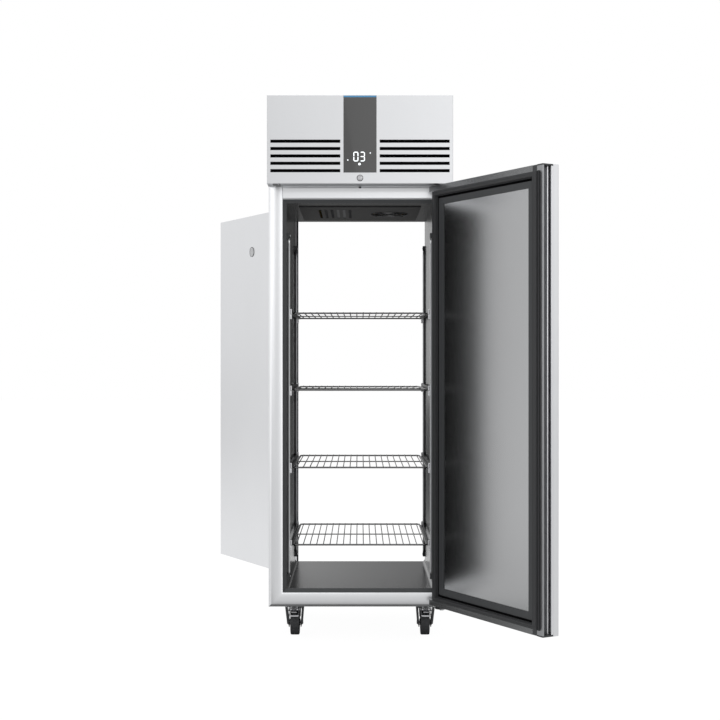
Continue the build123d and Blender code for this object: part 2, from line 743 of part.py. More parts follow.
def make_foam(door):
    """Foam core: fills the skin, with a recess for the frame and pockets for the bushes."""
    inner = SKIN_IN + SHEET
    low = DOOR_BOTTOM + SHEET
    high = DOOR_TOP - SHEET
    with BuildPart() as foam:
        with BuildSketch(door.plan(low)) as core:
            outline(*door_core(SHEET, inner, CHANNEL_BACK), (CHANNEL_BACK, inner))
            round_core(core, SHEET)
        extrude(amount=high - low)
        with BuildSketch(door.face(SKIN_IN + FRAME_THICK)):
            with Locations((CHANNEL_BACK / 2, (STRIP_TOP + STRIP_BOTTOM) / 2)):
                Rectangle(2 * CHANNEL_BACK, STRIP_TOP - STRIP_BOTTOM)
            with Locations(((PANEL[0] + PANEL[2]) / 2, (PANEL[1] + PANEL[3]) / 2)):
                Rectangle(PANEL[2] - PANEL[0], PANEL[3] - PANEL[1], mode=Mode.SUBTRACT)
            for bottom, top in ((low, STRIP_BOTTOM), (STRIP_TOP, high)):
                with Locations(((CAP_START + CHANNEL_BACK) / 2, (bottom + top) / 2)):
                    Rectangle(CHANNEL_BACK - CAP_START, top - bottom)
        extrude(amount=FRAME_THICK, mode=Mode.SUBTRACT)
        for z, depth in ((DOOR_BOTTOM, BUSH_DEPTH), (DOOR_TOP, -BUSH_DEPTH)):
            with BuildSketch(door.plan(z)):
                RegularPolygon(BUSH_RADIUS, BUSH_SIDES)
            extrude(amount=depth, mode=Mode.SUBTRACT)
        if door.side == "front":
            with BuildSketch(door.plan(DOOR_TOP)):
                with Locations((HINGE_X, -BOLT_Y - HINGE_Y)):
                    RegularPolygon(BOLT_POCKET, FEW_FLATS)
            extrude(amount=-CRANK - 2, mode=Mode.SUBTRACT)
    return foam


def make_liner(door):
    """Inner panel: a flat sheet on the foam, inside the plastic frame."""
    with BuildPart() as liner:
        with BuildSketch(door.face(SKIN_IN + SHEET)):
            with Locations(((PANEL[0] + PANEL[2]) / 2, (PANEL[1] + PANEL[3]) / 2)):
                Rectangle(PANEL[2] - PANEL[0] - SEAM, PANEL[3] - PANEL[1] - SEAM)
        extrude(amount=SHEET)
    return liner


def make_door_frame(door):
    """Plastic frame that holds the gasket: mitred bars with a raised ridge next to the panel."""
    with BuildPart() as bars:
        base = mitred_ring(door.face(SKIN_IN + FRAME_THICK), PANEL, FRAME_OUTLINE)
        extrude(base, amount=FRAME_THICK)
        ridge = mitred_ring(door.face(SKIN_IN), PANEL, FRAME_OUTLINE, end=RIDGE_SHARE)
        extrude(ridge, amount=RIDGE)
    return bars


def make_gasket(door):
    """Magnetic gasket: a wide base and a narrower bellows, mitred at the corners."""
    with BuildPart() as seal:
        base = mitred_ring(door.face(SKIN_IN), GASKET_OPENING, GASKET_OUTLINE)
        extrude(base, amount=GASKET_BASE)
        bellows = mitred_ring(door.face(SKIN_IN - GASKET_BASE), GASKET_OPENING, GASKET_OUTLINE, 0.14, 0.86)
        extrude(bellows, amount=GASKET_DEPTH - GASKET_BASE)
    return seal


def make_handle(door):
    """Full-length finger channel: floor, inner arm, and a rib in front of the skin's lip."""
    floor = CHANNEL_BACK + CHANNEL_WALL
    with BuildPart() as handle:
        with BuildSketch(door.plan(DOOR_BOTTOM + CAP_THICK)) as channel:
            outline((CHANNEL_BACK, SKIN_IN), (ARM_EDGE, SKIN_IN), (ARM_EDGE, ARM_FACE),
                    (floor, ARM_FACE), (floor, RIB_NEAR), (RIB_EDGE, RIB_NEAR),
                    (RIB_EDGE, RIB_FAR), (floor, RIB_FAR), (floor, LIP_BACK),
                    (CHANNEL_BACK, LIP_BACK))
            for t in (SKIN_IN, ARM_FACE):
                fillet(corner(channel, ARM_EDGE, t), 1.5)
            for t in (RIB_NEAR, RIB_FAR):
                fillet(corner(channel, RIB_EDGE, t), 2)
        extrude(amount=DOOR_TOP - DOOR_BOTTOM - 2 * CAP_THICK)
    return handle


def make_end_caps(door):
    """Moulded caps at both ends of the channel, and the two bushes that turn on the pins."""
    with BuildPart() as caps:
        for z, up, strip in ((DOOR_BOTTOM, 1, STRIP_BOTTOM), (DOOR_TOP, -1, STRIP_TOP)):
            with BuildSketch(door.plan(z)) as cap:
                with Locations(((CHANNEL_BACK + ARM_EDGE) / 2, (SKIN_IN + LIP_BACK) / 2)):
                    Rectangle(ARM_EDGE - CHANNEL_BACK, LIP_BACK - SKIN_IN)
                for t in (SKIN_IN, LIP_BACK):
                    chamfer(corner(cap, ARM_EDGE, t), 2)
            extrude(amount=up * CAP_THICK)
            start = z + up * SHEET
            with BuildSketch(door.face(SKIN_IN + FRAME_THICK)):
                with Locations(((CAP_START + CHANNEL_BACK) / 2, (start + strip) / 2)):
                    Rectangle(CHANNEL_BACK - CAP_START, abs(strip - start) - SEAM)
            extrude(amount=FRAME_THICK)
        for z, depth in ((DOOR_BOTTOM, BUSH_DEPTH), (DOOR_TOP, -BUSH_DEPTH)):
            with BuildSketch(door.plan(z)):
                RegularPolygon(BUSH_RADIUS, BUSH_SIDES)
            extrude(amount=depth)
        collar_low = BRACKET_Z + BRACKET_THICK + SEAM
        with BuildSketch(door.plan(collar_low)):
            RegularPolygon(BUSH_COLLAR, FEW_FLATS)
        extrude(amount=DOOR_BOTTOM - collar_low)
        bore_low = DOOR_BOTTOM + BORE_DEPTH - collar_low
        for z, depth in ((collar_low, bore_low), (DOOR_TOP, -BORE_DEPTH)):
            with BuildSketch(door.plan(z)):
                RegularPolygon(PIN_RADIUS + FIT, FEW_FLATS, major_radius=False)
            extrude(amount=depth, mode=Mode.SUBTRACT)
    return caps


DOOR_PIECES = {
    "skin": make_skin,
    "foam": make_foam,
    "liner": make_liner,
    "frame": make_door_frame,
    "gasket": make_gasket,
    "handle": make_handle,
    "end_caps": make_end_caps,
}
for side in SIDES:
    for name, make in DOOR_PIECES.items():
        save(make(Door(side)), f"{side}_door_{name}")


# Badge: a plain disc with a raised rim on the outside of the rear door
with BuildPart() as rear_door_badge:
    badge_plane = Door("rear").face(SKIN_OUT)
    for radius, height, mode in ((BADGE_RADIUS, BADGE_THICK, Mode.ADD),
                                 (BADGE_RADIUS - BADGE_RIM, BADGE_DISH, Mode.SUBTRACT)):
        with BuildSketch(badge_plane.offset(-BADGE_THICK)):
            with Locations((BADGE_N, BADGE_Z)):
                RegularPolygon(radius, MANY_FLATS)
        extrude(amount=height, mode=mode)
save(rear_door_badge, "rear_door_badge")


# Racking uprights: folded channels against the liner walls
with BuildPart() as uprights:
    for hand in (-1, 1):
        for y in UPRIGHT_Y:
            for inset, mode in ((0, Mode.ADD), (FOLD, Mode.SUBTRACT)):
                with BuildSketch(Plane.XY.offset(UPRIGHT_LOW)):
                    near = HALF_LINER - UPRIGHT_DEPTH + inset
                    with Locations((hand * (near + HALF_LINER) / 2, y)):
                        Rectangle(HALF_LINER - near, UPRIGHT_WIDTH - 2 * inset)
                extrude(amount=UPRIGHT_HIGH - UPRIGHT_LOW, mode=mode)
save(uprights, "uprights")


# Clips: a bracket at each end of every upright, fixed to the liner
with BuildPart() as upright_clips:
    for hand in (-1, 1):
        for y in UPRIGHT_Y:
            for z in (UPRIGHT_LOW - CLIP_HEIGHT, UPRIGHT_HIGH):
                with BuildSketch(Plane.XY.offset(z)) as clip:
                    with Locations((hand * (HALF_LINER - UPRIGHT_DEPTH / 2), y)):
                        Rectangle(UPRIGHT_DEPTH, UPRIGHT_WIDTH)
                    inner_x = hand * (HALF_LINER - UPRIGHT_DEPTH)
                    for edge in (-1, 1):
                        chamfer(corner(clip, inner_x, y + edge * UPRIGHT_WIDTH / 2), 3)
                extrude(amount=CLIP_HEIGHT)
save(upright_clips, "upright_clips")


# Shelf runners: angles with a hook plate at each upright
with BuildPart() as shelf_runners:
    web_outer = HALF_LINER - UPRIGHT_DEPTH - HOOK[0]
    for level in SHELF_LEVELS:
        flange_top = level - RAIL / 2 - SEAM
        for hand in (-1, 1):
            web_inner = hand * (web_outer - FOLD)
            with BuildSketch(Plane.XZ):
                outline((hand * RUNNER_EDGE, flange_top), (hand * RUNNER_EDGE, flange_top - FOLD),
                        (hand * web_outer, flange_top - FOLD), (hand * web_outer, level + RUNNER_LIP),
                        (web_inner, level + RUNNER_LIP), (web_inner, flange_top))
            extrude(amount=RUNNER_END, both=True)
            for y in UPRIGHT_Y:
                with Locations((hand * (web_outer + HOOK[0] / 2), y, level - HOOK_DROP)):
                    Box(*HOOK)
save(shelf_runners, "shelf_runners")


def make_shelf(level):
    """Wire shelf: a frame of square bar, wires from front to back, and a cross bar under them."""
    span = 2 * (SHELF_HALF_DEPTH - RAIL)
    wire_z = level + RAIL / 2 - WIRE / 2 - SEAM
    with BuildPart() as shelf:
        with BuildSketch(Plane.XY.offset(level - RAIL / 2)) as rim:
            Rectangle(2 * SHELF_HALF_WIDTH, 2 * SHELF_HALF_DEPTH)
            chamfer(rim.vertices(), RAIL * 0.8)
            Rectangle(2 * (SHELF_HALF_WIDTH - RAIL), span, mode=Mode.SUBTRACT)
        extrude(amount=RAIL)
        with BuildSketch(Plane.XZ.offset(-span / 2)):
            with Locations((0, wire_z)):
                with GridLocations(WIRE_PITCH, 1, WIRE_COUNT, 1):
                    RegularPolygon(WIRE / 2, 4)
        extrude(amount=span)
        with Locations((0, 0, wire_z - WIRE / 2 - FIT - CROSS_BAR / 2)):
            Box(2 * (SHELF_HALF_WIDTH - RAIL + 1), CROSS_BAR, CROSS_BAR)
    return shelf


for number, level in enumerate(SHELF_LEVELS, start=1):
    save(make_shelf(level), f"shelf_{number}")


# Castor plates: bolted plate, upper race and kingpin of each castor
with BuildPart() as castor_plates:
    for x, y in CASTORS.values():
        with BuildSketch(Plane.XY.offset(BODY_BOTTOM)) as plate:
            with Locations((x, y)):
                Rectangle(*PLATE_SIZE)
            chamfer(plate.vertices(), 6)
        extrude(amount=-PLATE_THICK)
        with BuildSketch(Plane.XY.offset(BODY_BOTTOM - PLATE_THICK)):
            with Locations((x, y)):
                with GridLocations(*PLATE_BOLTS, 2, 2):
                    RegularPolygon(BOLT_HEAD, 6)
        extrude(amount=-PLATE_THICK)
        with BuildSketch(Plane.XY.offset(BODY_BOTTOM - PLATE_THICK)):
            with Locations((x, y)):
                RegularPolygon(UPPER_RACE, FLATS)
        extrude(amount=RACE_TOP - BODY_BOTTOM + PLATE_THICK, taper=15)
        with BuildSketch(Plane.XY.offset(RACE_TOP)):
            with Locations((x, y)):
                Circle(KINGPIN_RADIUS)
        extrude(amount=CROWN_Z - SEAM - RACE_TOP)
        with BuildSketch(Plane.XY.offset(CROWN_Z - SEAM)):
            with Locations((x, y)):
                RegularPolygon(KINGPIN_NUT, 6)
        extrude(amount=-PLATE_THICK)
save(castor_plates, "castor_plates")


def side_plane(x, y):
    """Upright plane across a wheel axis; its x is the cabinet's Y and its y is up."""
    inward = 1 if y < 0 else -1
    return Plane(origin=(x, y + inward * TRAIL, WHEEL_RADIUS), x_dir=(0, 1, 0), z_dir=(1, 0, 0))


def make_fork(x, y, braked):
    """Stamped fork: two legs that lean in, the crown with the lower race, and the axle bolt."""
    axle = side_plane(x, y)
    ahead = y - axle.origin.Y
    pivot = y - PIVOT_AHEAD
    leg_up = CROWN_Z - WHEEL_RADIUS
    boss = LEG_INSIDE + BOSS_THICK
    with BuildPart() as fork:
        with BuildSketch(Plane.XZ.offset(-y)):
            for hand in (-1, 1):
                low = x + hand * LEG_INSIDE
                high = x + hand * (CROWN_RADIUS - 2 * LEG_THICK)
                outline((low, WHEEL_RADIUS - LEG_END), (low, WHEEL_RADIUS), (high, CROWN_Z),
                        (high + hand * LEG_THICK, CROWN_Z), (low + hand * LEG_THICK, WHEEL_RADIUS),
                        (low + hand * LEG_THICK, WHEEL_RADIUS - LEG_END))
        extrude(amount=2 * TRAIL, both=True)
        with BuildSketch(axle):
            outline((ahead - LEG_TOP / 2, leg_up), (-LEG_END, 0), (-LEG_SLANT, -LEG_SLANT),
                    (0, -LEG_END), (LEG_SLANT, -LEG_SLANT), (LEG_END, 0),
                    (ahead + LEG_TOP / 2, leg_up))
        extrude(amount=CROWN_RADIUS, both=True, mode=Mode.INTERSECT)
        for z, radius, amount, taper in (
            (CROWN_Z, CROWN_RADIUS, CROWN_THICK, 0),
            (CROWN_Z + CROWN_THICK, LOWER_RACE, RACE_TOP - SEAM - CROWN_Z - CROWN_THICK, 20),
        ):
            with BuildSketch(Plane.XY.offset(z)):
                with Locations((x, y)):
                    RegularPolygon(radius, FLATS)
            extrude(amount=amount, taper=taper)
        if braked:
            for hand in (-1, 1):
                with BuildSketch(Plane.YZ.offset(x + hand * EAR_INSIDE)):
                    outline((pivot + EAR_ROOT, CROWN_Z), (pivot - EAR_TIP, CROWN_Z),
                            (pivot - EAR_TIP, PIVOT_Z - EAR_TIP), (pivot + EAR_TIP, PIVOT_Z - EAR_TIP))
                    with Locations((pivot, PIVOT_Z)):
                        RegularPolygon(PIVOT_RADIUS + FIT, FEW_FLATS, major_radius=False, mode=Mode.SUBTRACT)
                extrude(amount=hand * LEG_THICK)
        with BuildSketch(Plane.XY.offset(CROWN_Z)):
            with Locations((x, y)):
                RegularPolygon(KINGPIN_RADIUS + FIT, FEW_FLATS, major_radius=False)
        extrude(amount=RACE_TOP - CROWN_Z, mode=Mode.SUBTRACT)
        for hand in (-1, 1):
            for radius, sides, reach in (
                (BOSS_RADIUS, FEW_FLATS, boss),
                (AXLE_NUT, 6, boss + PLATE_THICK),
            ):
                with BuildSketch(axle.offset(hand * LEG_INSIDE)):
                    RegularPolygon(radius, sides)
                extrude(amount=hand * (reach - LEG_INSIDE))
        with BuildSketch(axle):
            RegularPolygon(AXLE_BOLT, FEW_FLATS)
        extrude(amount=LEG_INSIDE, both=True)
    return fork


def make_wheel(x, y):
    """Wheel: chamfered tread on a recessed core, with a hub that runs on the axle."""
    axle = side_plane(x, y)
    half_turn = 180 / MANY_FLATS
    with BuildPart() as wheel:
        with BuildSketch(axle):
            RegularPolygon(WHEEL_RADIUS, MANY_FLATS, major_radius=False, rotation=half_turn)
        extrude(amount=WHEEL_HALF, both=True)
        chamfer([edge for face in wheel.faces().sort_by(Axis.X)[::MANY_FLATS + 1] for edge in face.edges()],
                TREAD_CHAMFER)
        for hand in (-1, 1):
            with BuildSketch(axle.offset(hand * WEB_HALF)):
                RegularPolygon(RIM_INSIDE, MANY_FLATS, rotation=half_turn)
            extrude(amount=hand * WHEEL_HALF, mode=Mode.SUBTRACT)
        with BuildSketch(axle):
            RegularPolygon(HUB_OUTSIDE, FEW_FLATS)
        extrude(amount=HUB_HALF, both=True)
        with BuildSketch(axle):
            Circle(AXLE_BOLT + FIT)
        extrude(amount=HUB_HALF, both=True, mode=Mode.SUBTRACT)
    return wheel


for name, (x, y) in CASTORS.items():
    save(make_fork(x, y, name in BRAKED), f"castor_fork_{name}")
    save(make_wheel(x, y), f"castor_wheel_{name}")


def make_brake(x, y):
    """Foot brake: a tongue and a pedal on two arms that turn on a pin between the fork's ears."""
    pivot = y - PIVOT_AHEAD
    front = y - PEDAL_AHEAD
    inside = PEDAL_WIDTH / 2 - ARM_THICK
    with BuildPart() as brake:
        for hand in (-1, 1):
            with BuildSketch(Plane.YZ.offset(x + hand * inside)):
                outline((pivot + BAR, PIVOT_Z + BAR), (pivot + BAR, PIVOT_Z - BAR), (front + BAR, PEDAL_Z),
                        (front, PEDAL_Z), (front, PEDAL_Z + BAR), (pivot - BAR, PIVOT_Z + BAR))
            extrude(amount=hand * ARM_THICK)
        with BuildSketch(Plane.YZ.offset(x)):
            outline((front, TONGUE_Z), (front, TONGUE_Z + BAR), (pivot - BAR, PIVOT_Z + BAR),
                    (pivot - BAR, PIVOT_Z))
        extrude(amount=TONGUE_WIDTH / 2, both=True)
        # Pedal bar in front, and the web that ties the tongue to the arms
        for bar_y, bar_z in ((front + BAR / 2, PEDAL_Z + BAR / 2), (pivot - 1.5 * BAR, PIVOT_Z + BAR / 2)):
            with Locations((x, bar_y, bar_z)):
                Box(2 * inside, BAR, BAR)
        with BuildSketch(Plane.YZ.offset(x)):
            with Locations((pivot, PIVOT_Z)):
                RegularPolygon(PIVOT_RADIUS, FEW_FLATS)
        extrude(amount=EAR_INSIDE + LEG_THICK, both=True)
        with BuildSketch(Plane.YZ.offset(x)):
            with Locations((pivot, PIVOT_Z)):
                Circle(PIVOT_WAIST)
        extrude(amount=inside, both=True)
    return brake


for name in BRAKED:
    save(make_brake(*CASTORS[name]), f"castor_brake_{name}")


def make_coil(centre, length, depth, height, along):
    """Finned coil: a core with a comb of fins on both faces."""
    with BuildPart() as coil:
        with BuildSketch(Plane(origin=centre, x_dir=along, z_dir=(0, 0, 1))):
            Rectangle(length, depth / 3)
            with GridLocations(length / FINS, 1, FINS, 1):
                Rectangle(FIN_THICK, depth)
        extrude(amount=height / 2, both=True)
    return coil


condenser_coil = make_coil((CONDENSER_X, CONDENSER_Y, CONDENSER_Z),
                           CONDENSER_WIDTH, CONDENSER_DEPTH, CONDENSER_HEIGHT, (1, 0, 0))
evaporator_coil = make_coil((*EVAPORATOR_PLACE, DUCT_PANEL_Z + FOLD + EVAPORATOR_HEIGHT / 2),
                            EVAPORATOR_WIDTH, EVAPORATOR_DEPTH, EVAPORATOR_HEIGHT, (0, 1, 0))
save(condenser_coil, "condenser_coil")
save(evaporator_coil, "evaporator_coil")


def make_fan(plane):
    """Axial fan: a hub on a stub shaft, with pitched blades that widen outwards."""
    with BuildPart() as fan:
        with BuildSketch(plane):
            RegularPolygon(HUB_RADIUS, FEW_FLATS)
        extrude(amount=HUB_DEPTH, both=True)
        with BuildSketch(plane.offset(HUB_DEPTH)):
            Circle(SHAFT_RADIUS)
        extrude(amount=SHAFT_REACH - HUB_DEPTH)
        root = HUB_RADIUS - SHAFT_RADIUS
        tip = FAN_RADIUS - SHAFT_RADIUS - 1
        for blade in range(BLADES):
            angle = radians(blade * 360 / BLADES)
            out = plane.x_dir * cos(angle) + plane.y_dir * sin(angle)
            across = plane.y_dir * cos(angle) - plane.x_dir * sin(angle)
            tilted = across * cos(radians(BLADE_PITCH)) + plane.z_dir * sin(radians(BLADE_PITCH))
            with BuildSketch(Plane(origin=plane.origin, x_dir=out, z_dir=out.cross(tilted))):
                outline((root, -BLADE_ROOT), (tip - SHAFT_RADIUS, -BLADE_LEAD), (tip, -BLADE_ROOT),
                        (tip, BLADE_TRAIL), (root, BLADE_ROOT))
            extrude(amount=BLADE_THICK / 2, both=True)
    return fan


condenser_axis = Plane(origin=(CONDENSER_X, CONDENSER_FAN_Y, CONDENSER_Z), x_dir=(1, 0, 0), z_dir=(0, 1, 0))
evaporator_axis = Plane(origin=(FAN_X, 0, EVAPORATOR_FAN_Z), x_dir=(1, 0, 0), z_dir=(0, 0, 1))
save(make_fan(condenser_axis), "condenser_fan")
save(make_fan(evaporator_axis), "evaporator_fan")


# Shroud of the condenser fan, with the motor on a cross bar
with BuildPart() as condenser_fan_shroud:
    with BuildSketch(condenser_axis.offset(-SHROUD_BACK)):
        Rectangle(CONDENSER_WIDTH, CONDENSER_HEIGHT)
        RegularPolygon(THROAT, FLATS, mode=Mode.SUBTRACT)
    extrude(amount=SHROUD_THICK)
    with BuildSketch(condenser_axis.offset(SHROUD_THICK - SHROUD_BACK)):
        RegularPolygon(THROAT + SHROUD_THICK, FLATS)
        RegularPolygon(THROAT, FLATS, mode=Mode.SUBTRACT)
    extrude(amount=SHROUD_BACK - SHROUD_THICK + MOTOR_START)
    with BuildSketch(condenser_axis.offset(MOTOR_START)):
        Rectangle(MOTOR_BRACKET / 2, 2 * (THROAT + SHROUD_THICK))
    extrude(amount=2 * FOLD)
    with BuildSketch(condenser_axis.offset(MOTOR_START)):
        RegularPolygon(MOTOR_RADIUS, FEW_FLATS)
    extrude(amount=2 * MOTOR_RADIUS)
    with BuildSketch(condenser_axis.offset(HUB_DEPTH)):
        RegularPolygon(SHAFT_RADIUS + FIT, FEW_FLATS, major_radius=False)
    extrude(amount=HUB_RADIUS, mode=Mode.SUBTRACT)
save(condenser_fan_shroud, "condenser_fan_shroud")


# Air duct: the panel under the ceiling, with its fan opening and return slots, and the
# bracket and motor of the evaporator fan
with BuildPart() as air_duct:
    for inset, mode in ((0, Mode.ADD), (FOLD, Mode.SUBTRACT)):
        with BuildSketch(Plane.XY.offset(DUCT_PANEL_Z + inset)):
            Rectangle(DUCT_PANEL_WIDTH - 2 * inset, DUCT_PANEL_DEPTH - 2 * inset)
        extrude(amount=LINER_CEILING - DUCT_PANEL_Z - inset, mode=mode)
    with BuildSketch(Plane.XY.offset(DUCT_PANEL_Z)):
        with Locations((FAN_X, 0)):
            RegularPolygon(THROAT, FLATS)
        with Locations((RETURN_X, 0)):
            with GridLocations(RETURN_PITCH, 1, RETURN_SLOTS, 1):
                Rectangle(*RETURN_SLOT)
    extrude(amount=FOLD, mode=Mode.SUBTRACT)
    with BuildSketch(Plane.YZ.offset(FAN_X - MOTOR_BRACKET / 2)) as bracket:
        with Locations((0, (DUCT_PANEL_Z + FOLD + MOTOR_TOP) / 2)):
            Rectangle(2 * MOTOR_REACH, MOTOR_TOP - DUCT_PANEL_Z - FOLD)
        with Locations((0, (DUCT_PANEL_Z + FOLD + MOTOR_TOP) / 2 - FOLD)):
            Rectangle(2 * (MOTOR_REACH - FOLD), MOTOR_TOP - DUCT_PANEL_Z - FOLD, mode=Mode.SUBTRACT)
    extrude(amount=MOTOR_BRACKET)
    with BuildSketch(evaporator_axis.offset(MOTOR_START)):
        RegularPolygon(MOTOR_RADIUS, FEW_FLATS)
    extrude(amount=MOTOR_TOP - FOLD - EVAPORATOR_FAN_Z - MOTOR_START)
    with BuildSketch(evaporator_axis.offset(HUB_DEPTH)):
        RegularPolygon(SHAFT_RADIUS + FIT, FEW_FLATS, major_radius=False)
    extrude(amount=HUB_RADIUS, mode=Mode.SUBTRACT)
save(air_duct, "air_duct")


# Compressor: welded shell on a base plate with rubber feet
with BuildPart() as compressor:
    with BuildSketch(Plane.XY.offset(COMPRESSOR_BASE + 3)):
        with Locations(COMPRESSOR_PLACE):
            RegularPolygon(SHELL_RADIUS, FLATS)
    extrude(amount=SHELL_HEIGHT - 3)
    for face in compressor.faces().sort_by(Axis.Z)[::FLATS + 1]:
        chamfer(face.edges(), SHELL_RADIUS / 5)
    with BuildSketch(Plane.XY.offset(COMPRESSOR_BASE + SHELL_HEIGHT / 2)):
        with Locations(COMPRESSOR_PLACE):
            RegularPolygon(SHELL_RADIUS + 3, FLATS)
    extrude(amount=SHELL_SEAM)
    with BuildSketch(Plane.XY.offset(COMPRESSOR_BASE)):
        with Locations(COMPRESSOR_PLACE):
            Rectangle(*BASE_PLATE)
    extrude(amount=2 * FOLD)
    with BuildSketch(Plane.XY.offset(HEADER_BOTTOM + FOLD)):
        with Locations(COMPRESSOR_PLACE):
            with GridLocations(*FEET_GRID, 2, 2):
                RegularPolygon(FOOT_RADIUS, FEW_FLATS)
    extrude(amount=FOOT_HEIGHT)
save(compressor, "compressor")


# Control box with the power inlet, which is flush with the top panel
with BuildPart() as control_box:
    left, front, right, back = CONTROL_BOX
    block((left, front, HEADER_BOTTOM + FOLD), (right, back, CONTROL_BOX_TOP))
    block((left - LID_LAP, front - LID_LAP, CONTROL_BOX_TOP),
          (right + LID_LAP, back + LID_LAP, CONTROL_BOX_TOP + 2 * FOLD))
    for margin, depth, top, mode in (
        (-2 * SEAM, INLET_DEPTH, HEIGHT, Mode.ADD),
        (INLET_FLANGE, 2 * FOLD, HEIGHT - FOLD, Mode.ADD),
        (-INLET_FLANGE, INLET_POCKET, HEIGHT, Mode.SUBTRACT),
    ):
        with Locations((*INLET_PLACE, top - depth / 2)):
            Box(INLET_SIZE[0] + margin, INLET_SIZE[1] + margin, depth, mode=mode)
save(control_box, "control_box")


# Drip tray beside the compressor, where the melt water evaporates
with BuildPart() as drip_tray:
    for inset, mode in ((0, Mode.ADD), (FOLD, Mode.SUBTRACT)):
        with BuildSketch(Plane.XY.offset(HEADER_BOTTOM + FOLD + inset)) as tray:
            with Locations(TRAY_PLACE):
                Rectangle(TRAY_SIZE[0] - 2 * inset, TRAY_SIZE[1] - 2 * inset)
            chamfer(tray.vertices(), TRAY_CORNER - inset * (2 - sqrt(2)))
        extrude(amount=TRAY_HEIGHT - inset, mode=mode)
save(drip_tray, "drip_tray")


# Refrigerant pipes: discharge line, liquid line and suction line
shell_x, shell_y = COMPRESSOR_PLACE
shell_top = COMPRESSOR_BASE + SHELL_HEIGHT
condenser_top = CONDENSER_Z + CONDENSER_HEIGHT / 2
condenser_end = CONDENSER_X + CONDENSER_WIDTH / 2
pipe_routes = (
    ((DISCHARGE_X, shell_y, shell_top), (DISCHARGE_X, shell_y, DISCHARGE_TOP),
     (DISCHARGE_SIDE, shell_y, DISCHARGE_TOP), (DISCHARGE_SIDE, CONDENSER_Y, DISCHARGE_TOP),
     (CONDENSER_X, CONDENSER_Y, DISCHARGE_TOP), (CONDENSER_X, CONDENSER_Y, condenser_top)),
    ((condenser_end, CONDENSER_Y, LIQUID_LOW), (LIQUID_X, CONDENSER_Y, LIQUID_LOW),
     (LIQUID_X, LIQUID_Y, LIQUID_LOW), (LIQUID_X, LIQUID_Y, LIQUID_HIGH),
     (LIQUID_X, -COIL_STUB_Y, LIQUID_HIGH), (LIQUID_X, -COIL_STUB_Y, HOOD_TOP)),
    ((LIQUID_X, COIL_STUB_Y, HOOD_TOP), (LIQUID_X, COIL_STUB_Y, SUCTION_Z),
     (LIQUID_X, shell_y, SUCTION_Z), (shell_x + SHELL_RADIUS, shell_y, SUCTION_Z)),
)
with BuildPart() as refrigerant_pipes:
    for route in pipe_routes:
        with BuildLine() as path:
            Polyline(*route)
        start = Vector(*route[0])
        with BuildSketch(Plane(origin=start, z_dir=Vector(*route[1]) - start)):
            RegularPolygon(PIPE_RADIUS, 6)
        sweep(path=path.line, transition=Transition.RIGHT)
save(refrigerant_pipes, "refrigerant_pipes")
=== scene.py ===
# %% [markdown]
# # A pass-through refrigerated cabinet
# A pass-through cabinet stands between a kitchen and a serving line, with a full-height door on
# each side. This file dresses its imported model: the folded steel, the dark trim of the doors, the
# wire shelves and the castors. The model arrives as a fixed frame of metal and plastic parts, and
# each new piece here rides on one of the frame's bodies, so that it moves when the door or the
# castor moves.

# %% Load the frame
from math import cos, pi, radians, sin, sqrt

import bmesh
import bpy
from mathutils import Matrix, Vector


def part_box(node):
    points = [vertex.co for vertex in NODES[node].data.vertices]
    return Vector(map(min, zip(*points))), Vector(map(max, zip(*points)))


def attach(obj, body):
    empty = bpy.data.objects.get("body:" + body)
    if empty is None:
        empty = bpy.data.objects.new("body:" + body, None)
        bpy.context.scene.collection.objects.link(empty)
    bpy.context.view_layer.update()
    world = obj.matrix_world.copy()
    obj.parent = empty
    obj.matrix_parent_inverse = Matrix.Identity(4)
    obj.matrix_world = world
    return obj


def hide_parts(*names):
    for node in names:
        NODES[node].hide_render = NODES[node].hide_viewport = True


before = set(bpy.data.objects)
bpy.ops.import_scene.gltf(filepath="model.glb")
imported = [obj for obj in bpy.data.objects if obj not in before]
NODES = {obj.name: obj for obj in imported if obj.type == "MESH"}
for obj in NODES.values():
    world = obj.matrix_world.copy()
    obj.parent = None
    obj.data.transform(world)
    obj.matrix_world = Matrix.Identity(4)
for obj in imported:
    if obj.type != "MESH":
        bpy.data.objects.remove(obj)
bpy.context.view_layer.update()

# %% [markdown]
# The photograph shows the cabinet straight from the front, with level verticals. A plain camera
# that looks along +Y, at about chest height, gives that without any lens shift. The distance
# decides how much smaller the rear opening looks than the front one, and the lens then sets the
# size in the picture.

# %% Camera
MM = 0.001
EYE = Vector((0, -5.448, 1.084))
LENS = 66.65
SENSOR = 36

camera_data = bpy.data.cameras.new("camera")
camera_data.lens = LENS
camera_data.sensor_width = SENSOR
camera = bpy.data.objects.new("camera", camera_data)
camera.location = EYE
camera.rotation_euler = (pi / 2, 0, 0)
scene = bpy.context.scene
scene.collection.objects.link(camera)
scene.camera = camera
scene.view_settings.view_transform = "Standard"
print("camera at", tuple(EYE), "lens", LENS)

# %% [markdown]
# Brushed steel shows its surroundings, so the studio is part of the finish. The camera sees a
# white backdrop. What the metal reflects is a white room with one dark end, behind the cabinet and
# a little to its right, which keeps the inside of the cabinet dark while the doors stay bright.
# Diffuse light gets a calm grey, so that the lamps decide the shading. The floor is white to the
# camera too, and only a share of its shading is kept, which leaves a faint shadow below.

# %% World
AMBIENT = 0.5
DARK_END = (0.5, 0.85, -0.12)
ROOM_DARK = 0.06
ROOM_REACH = (0.64, 0.92)
WHITE = (1, 1, 1, 1)


def add_node(tree, kind, **settings):
    """A new node with its settings."""
    node = tree.nodes.new(kind)
    for name, value in settings.items():
        setattr(node, name, value)
    return node


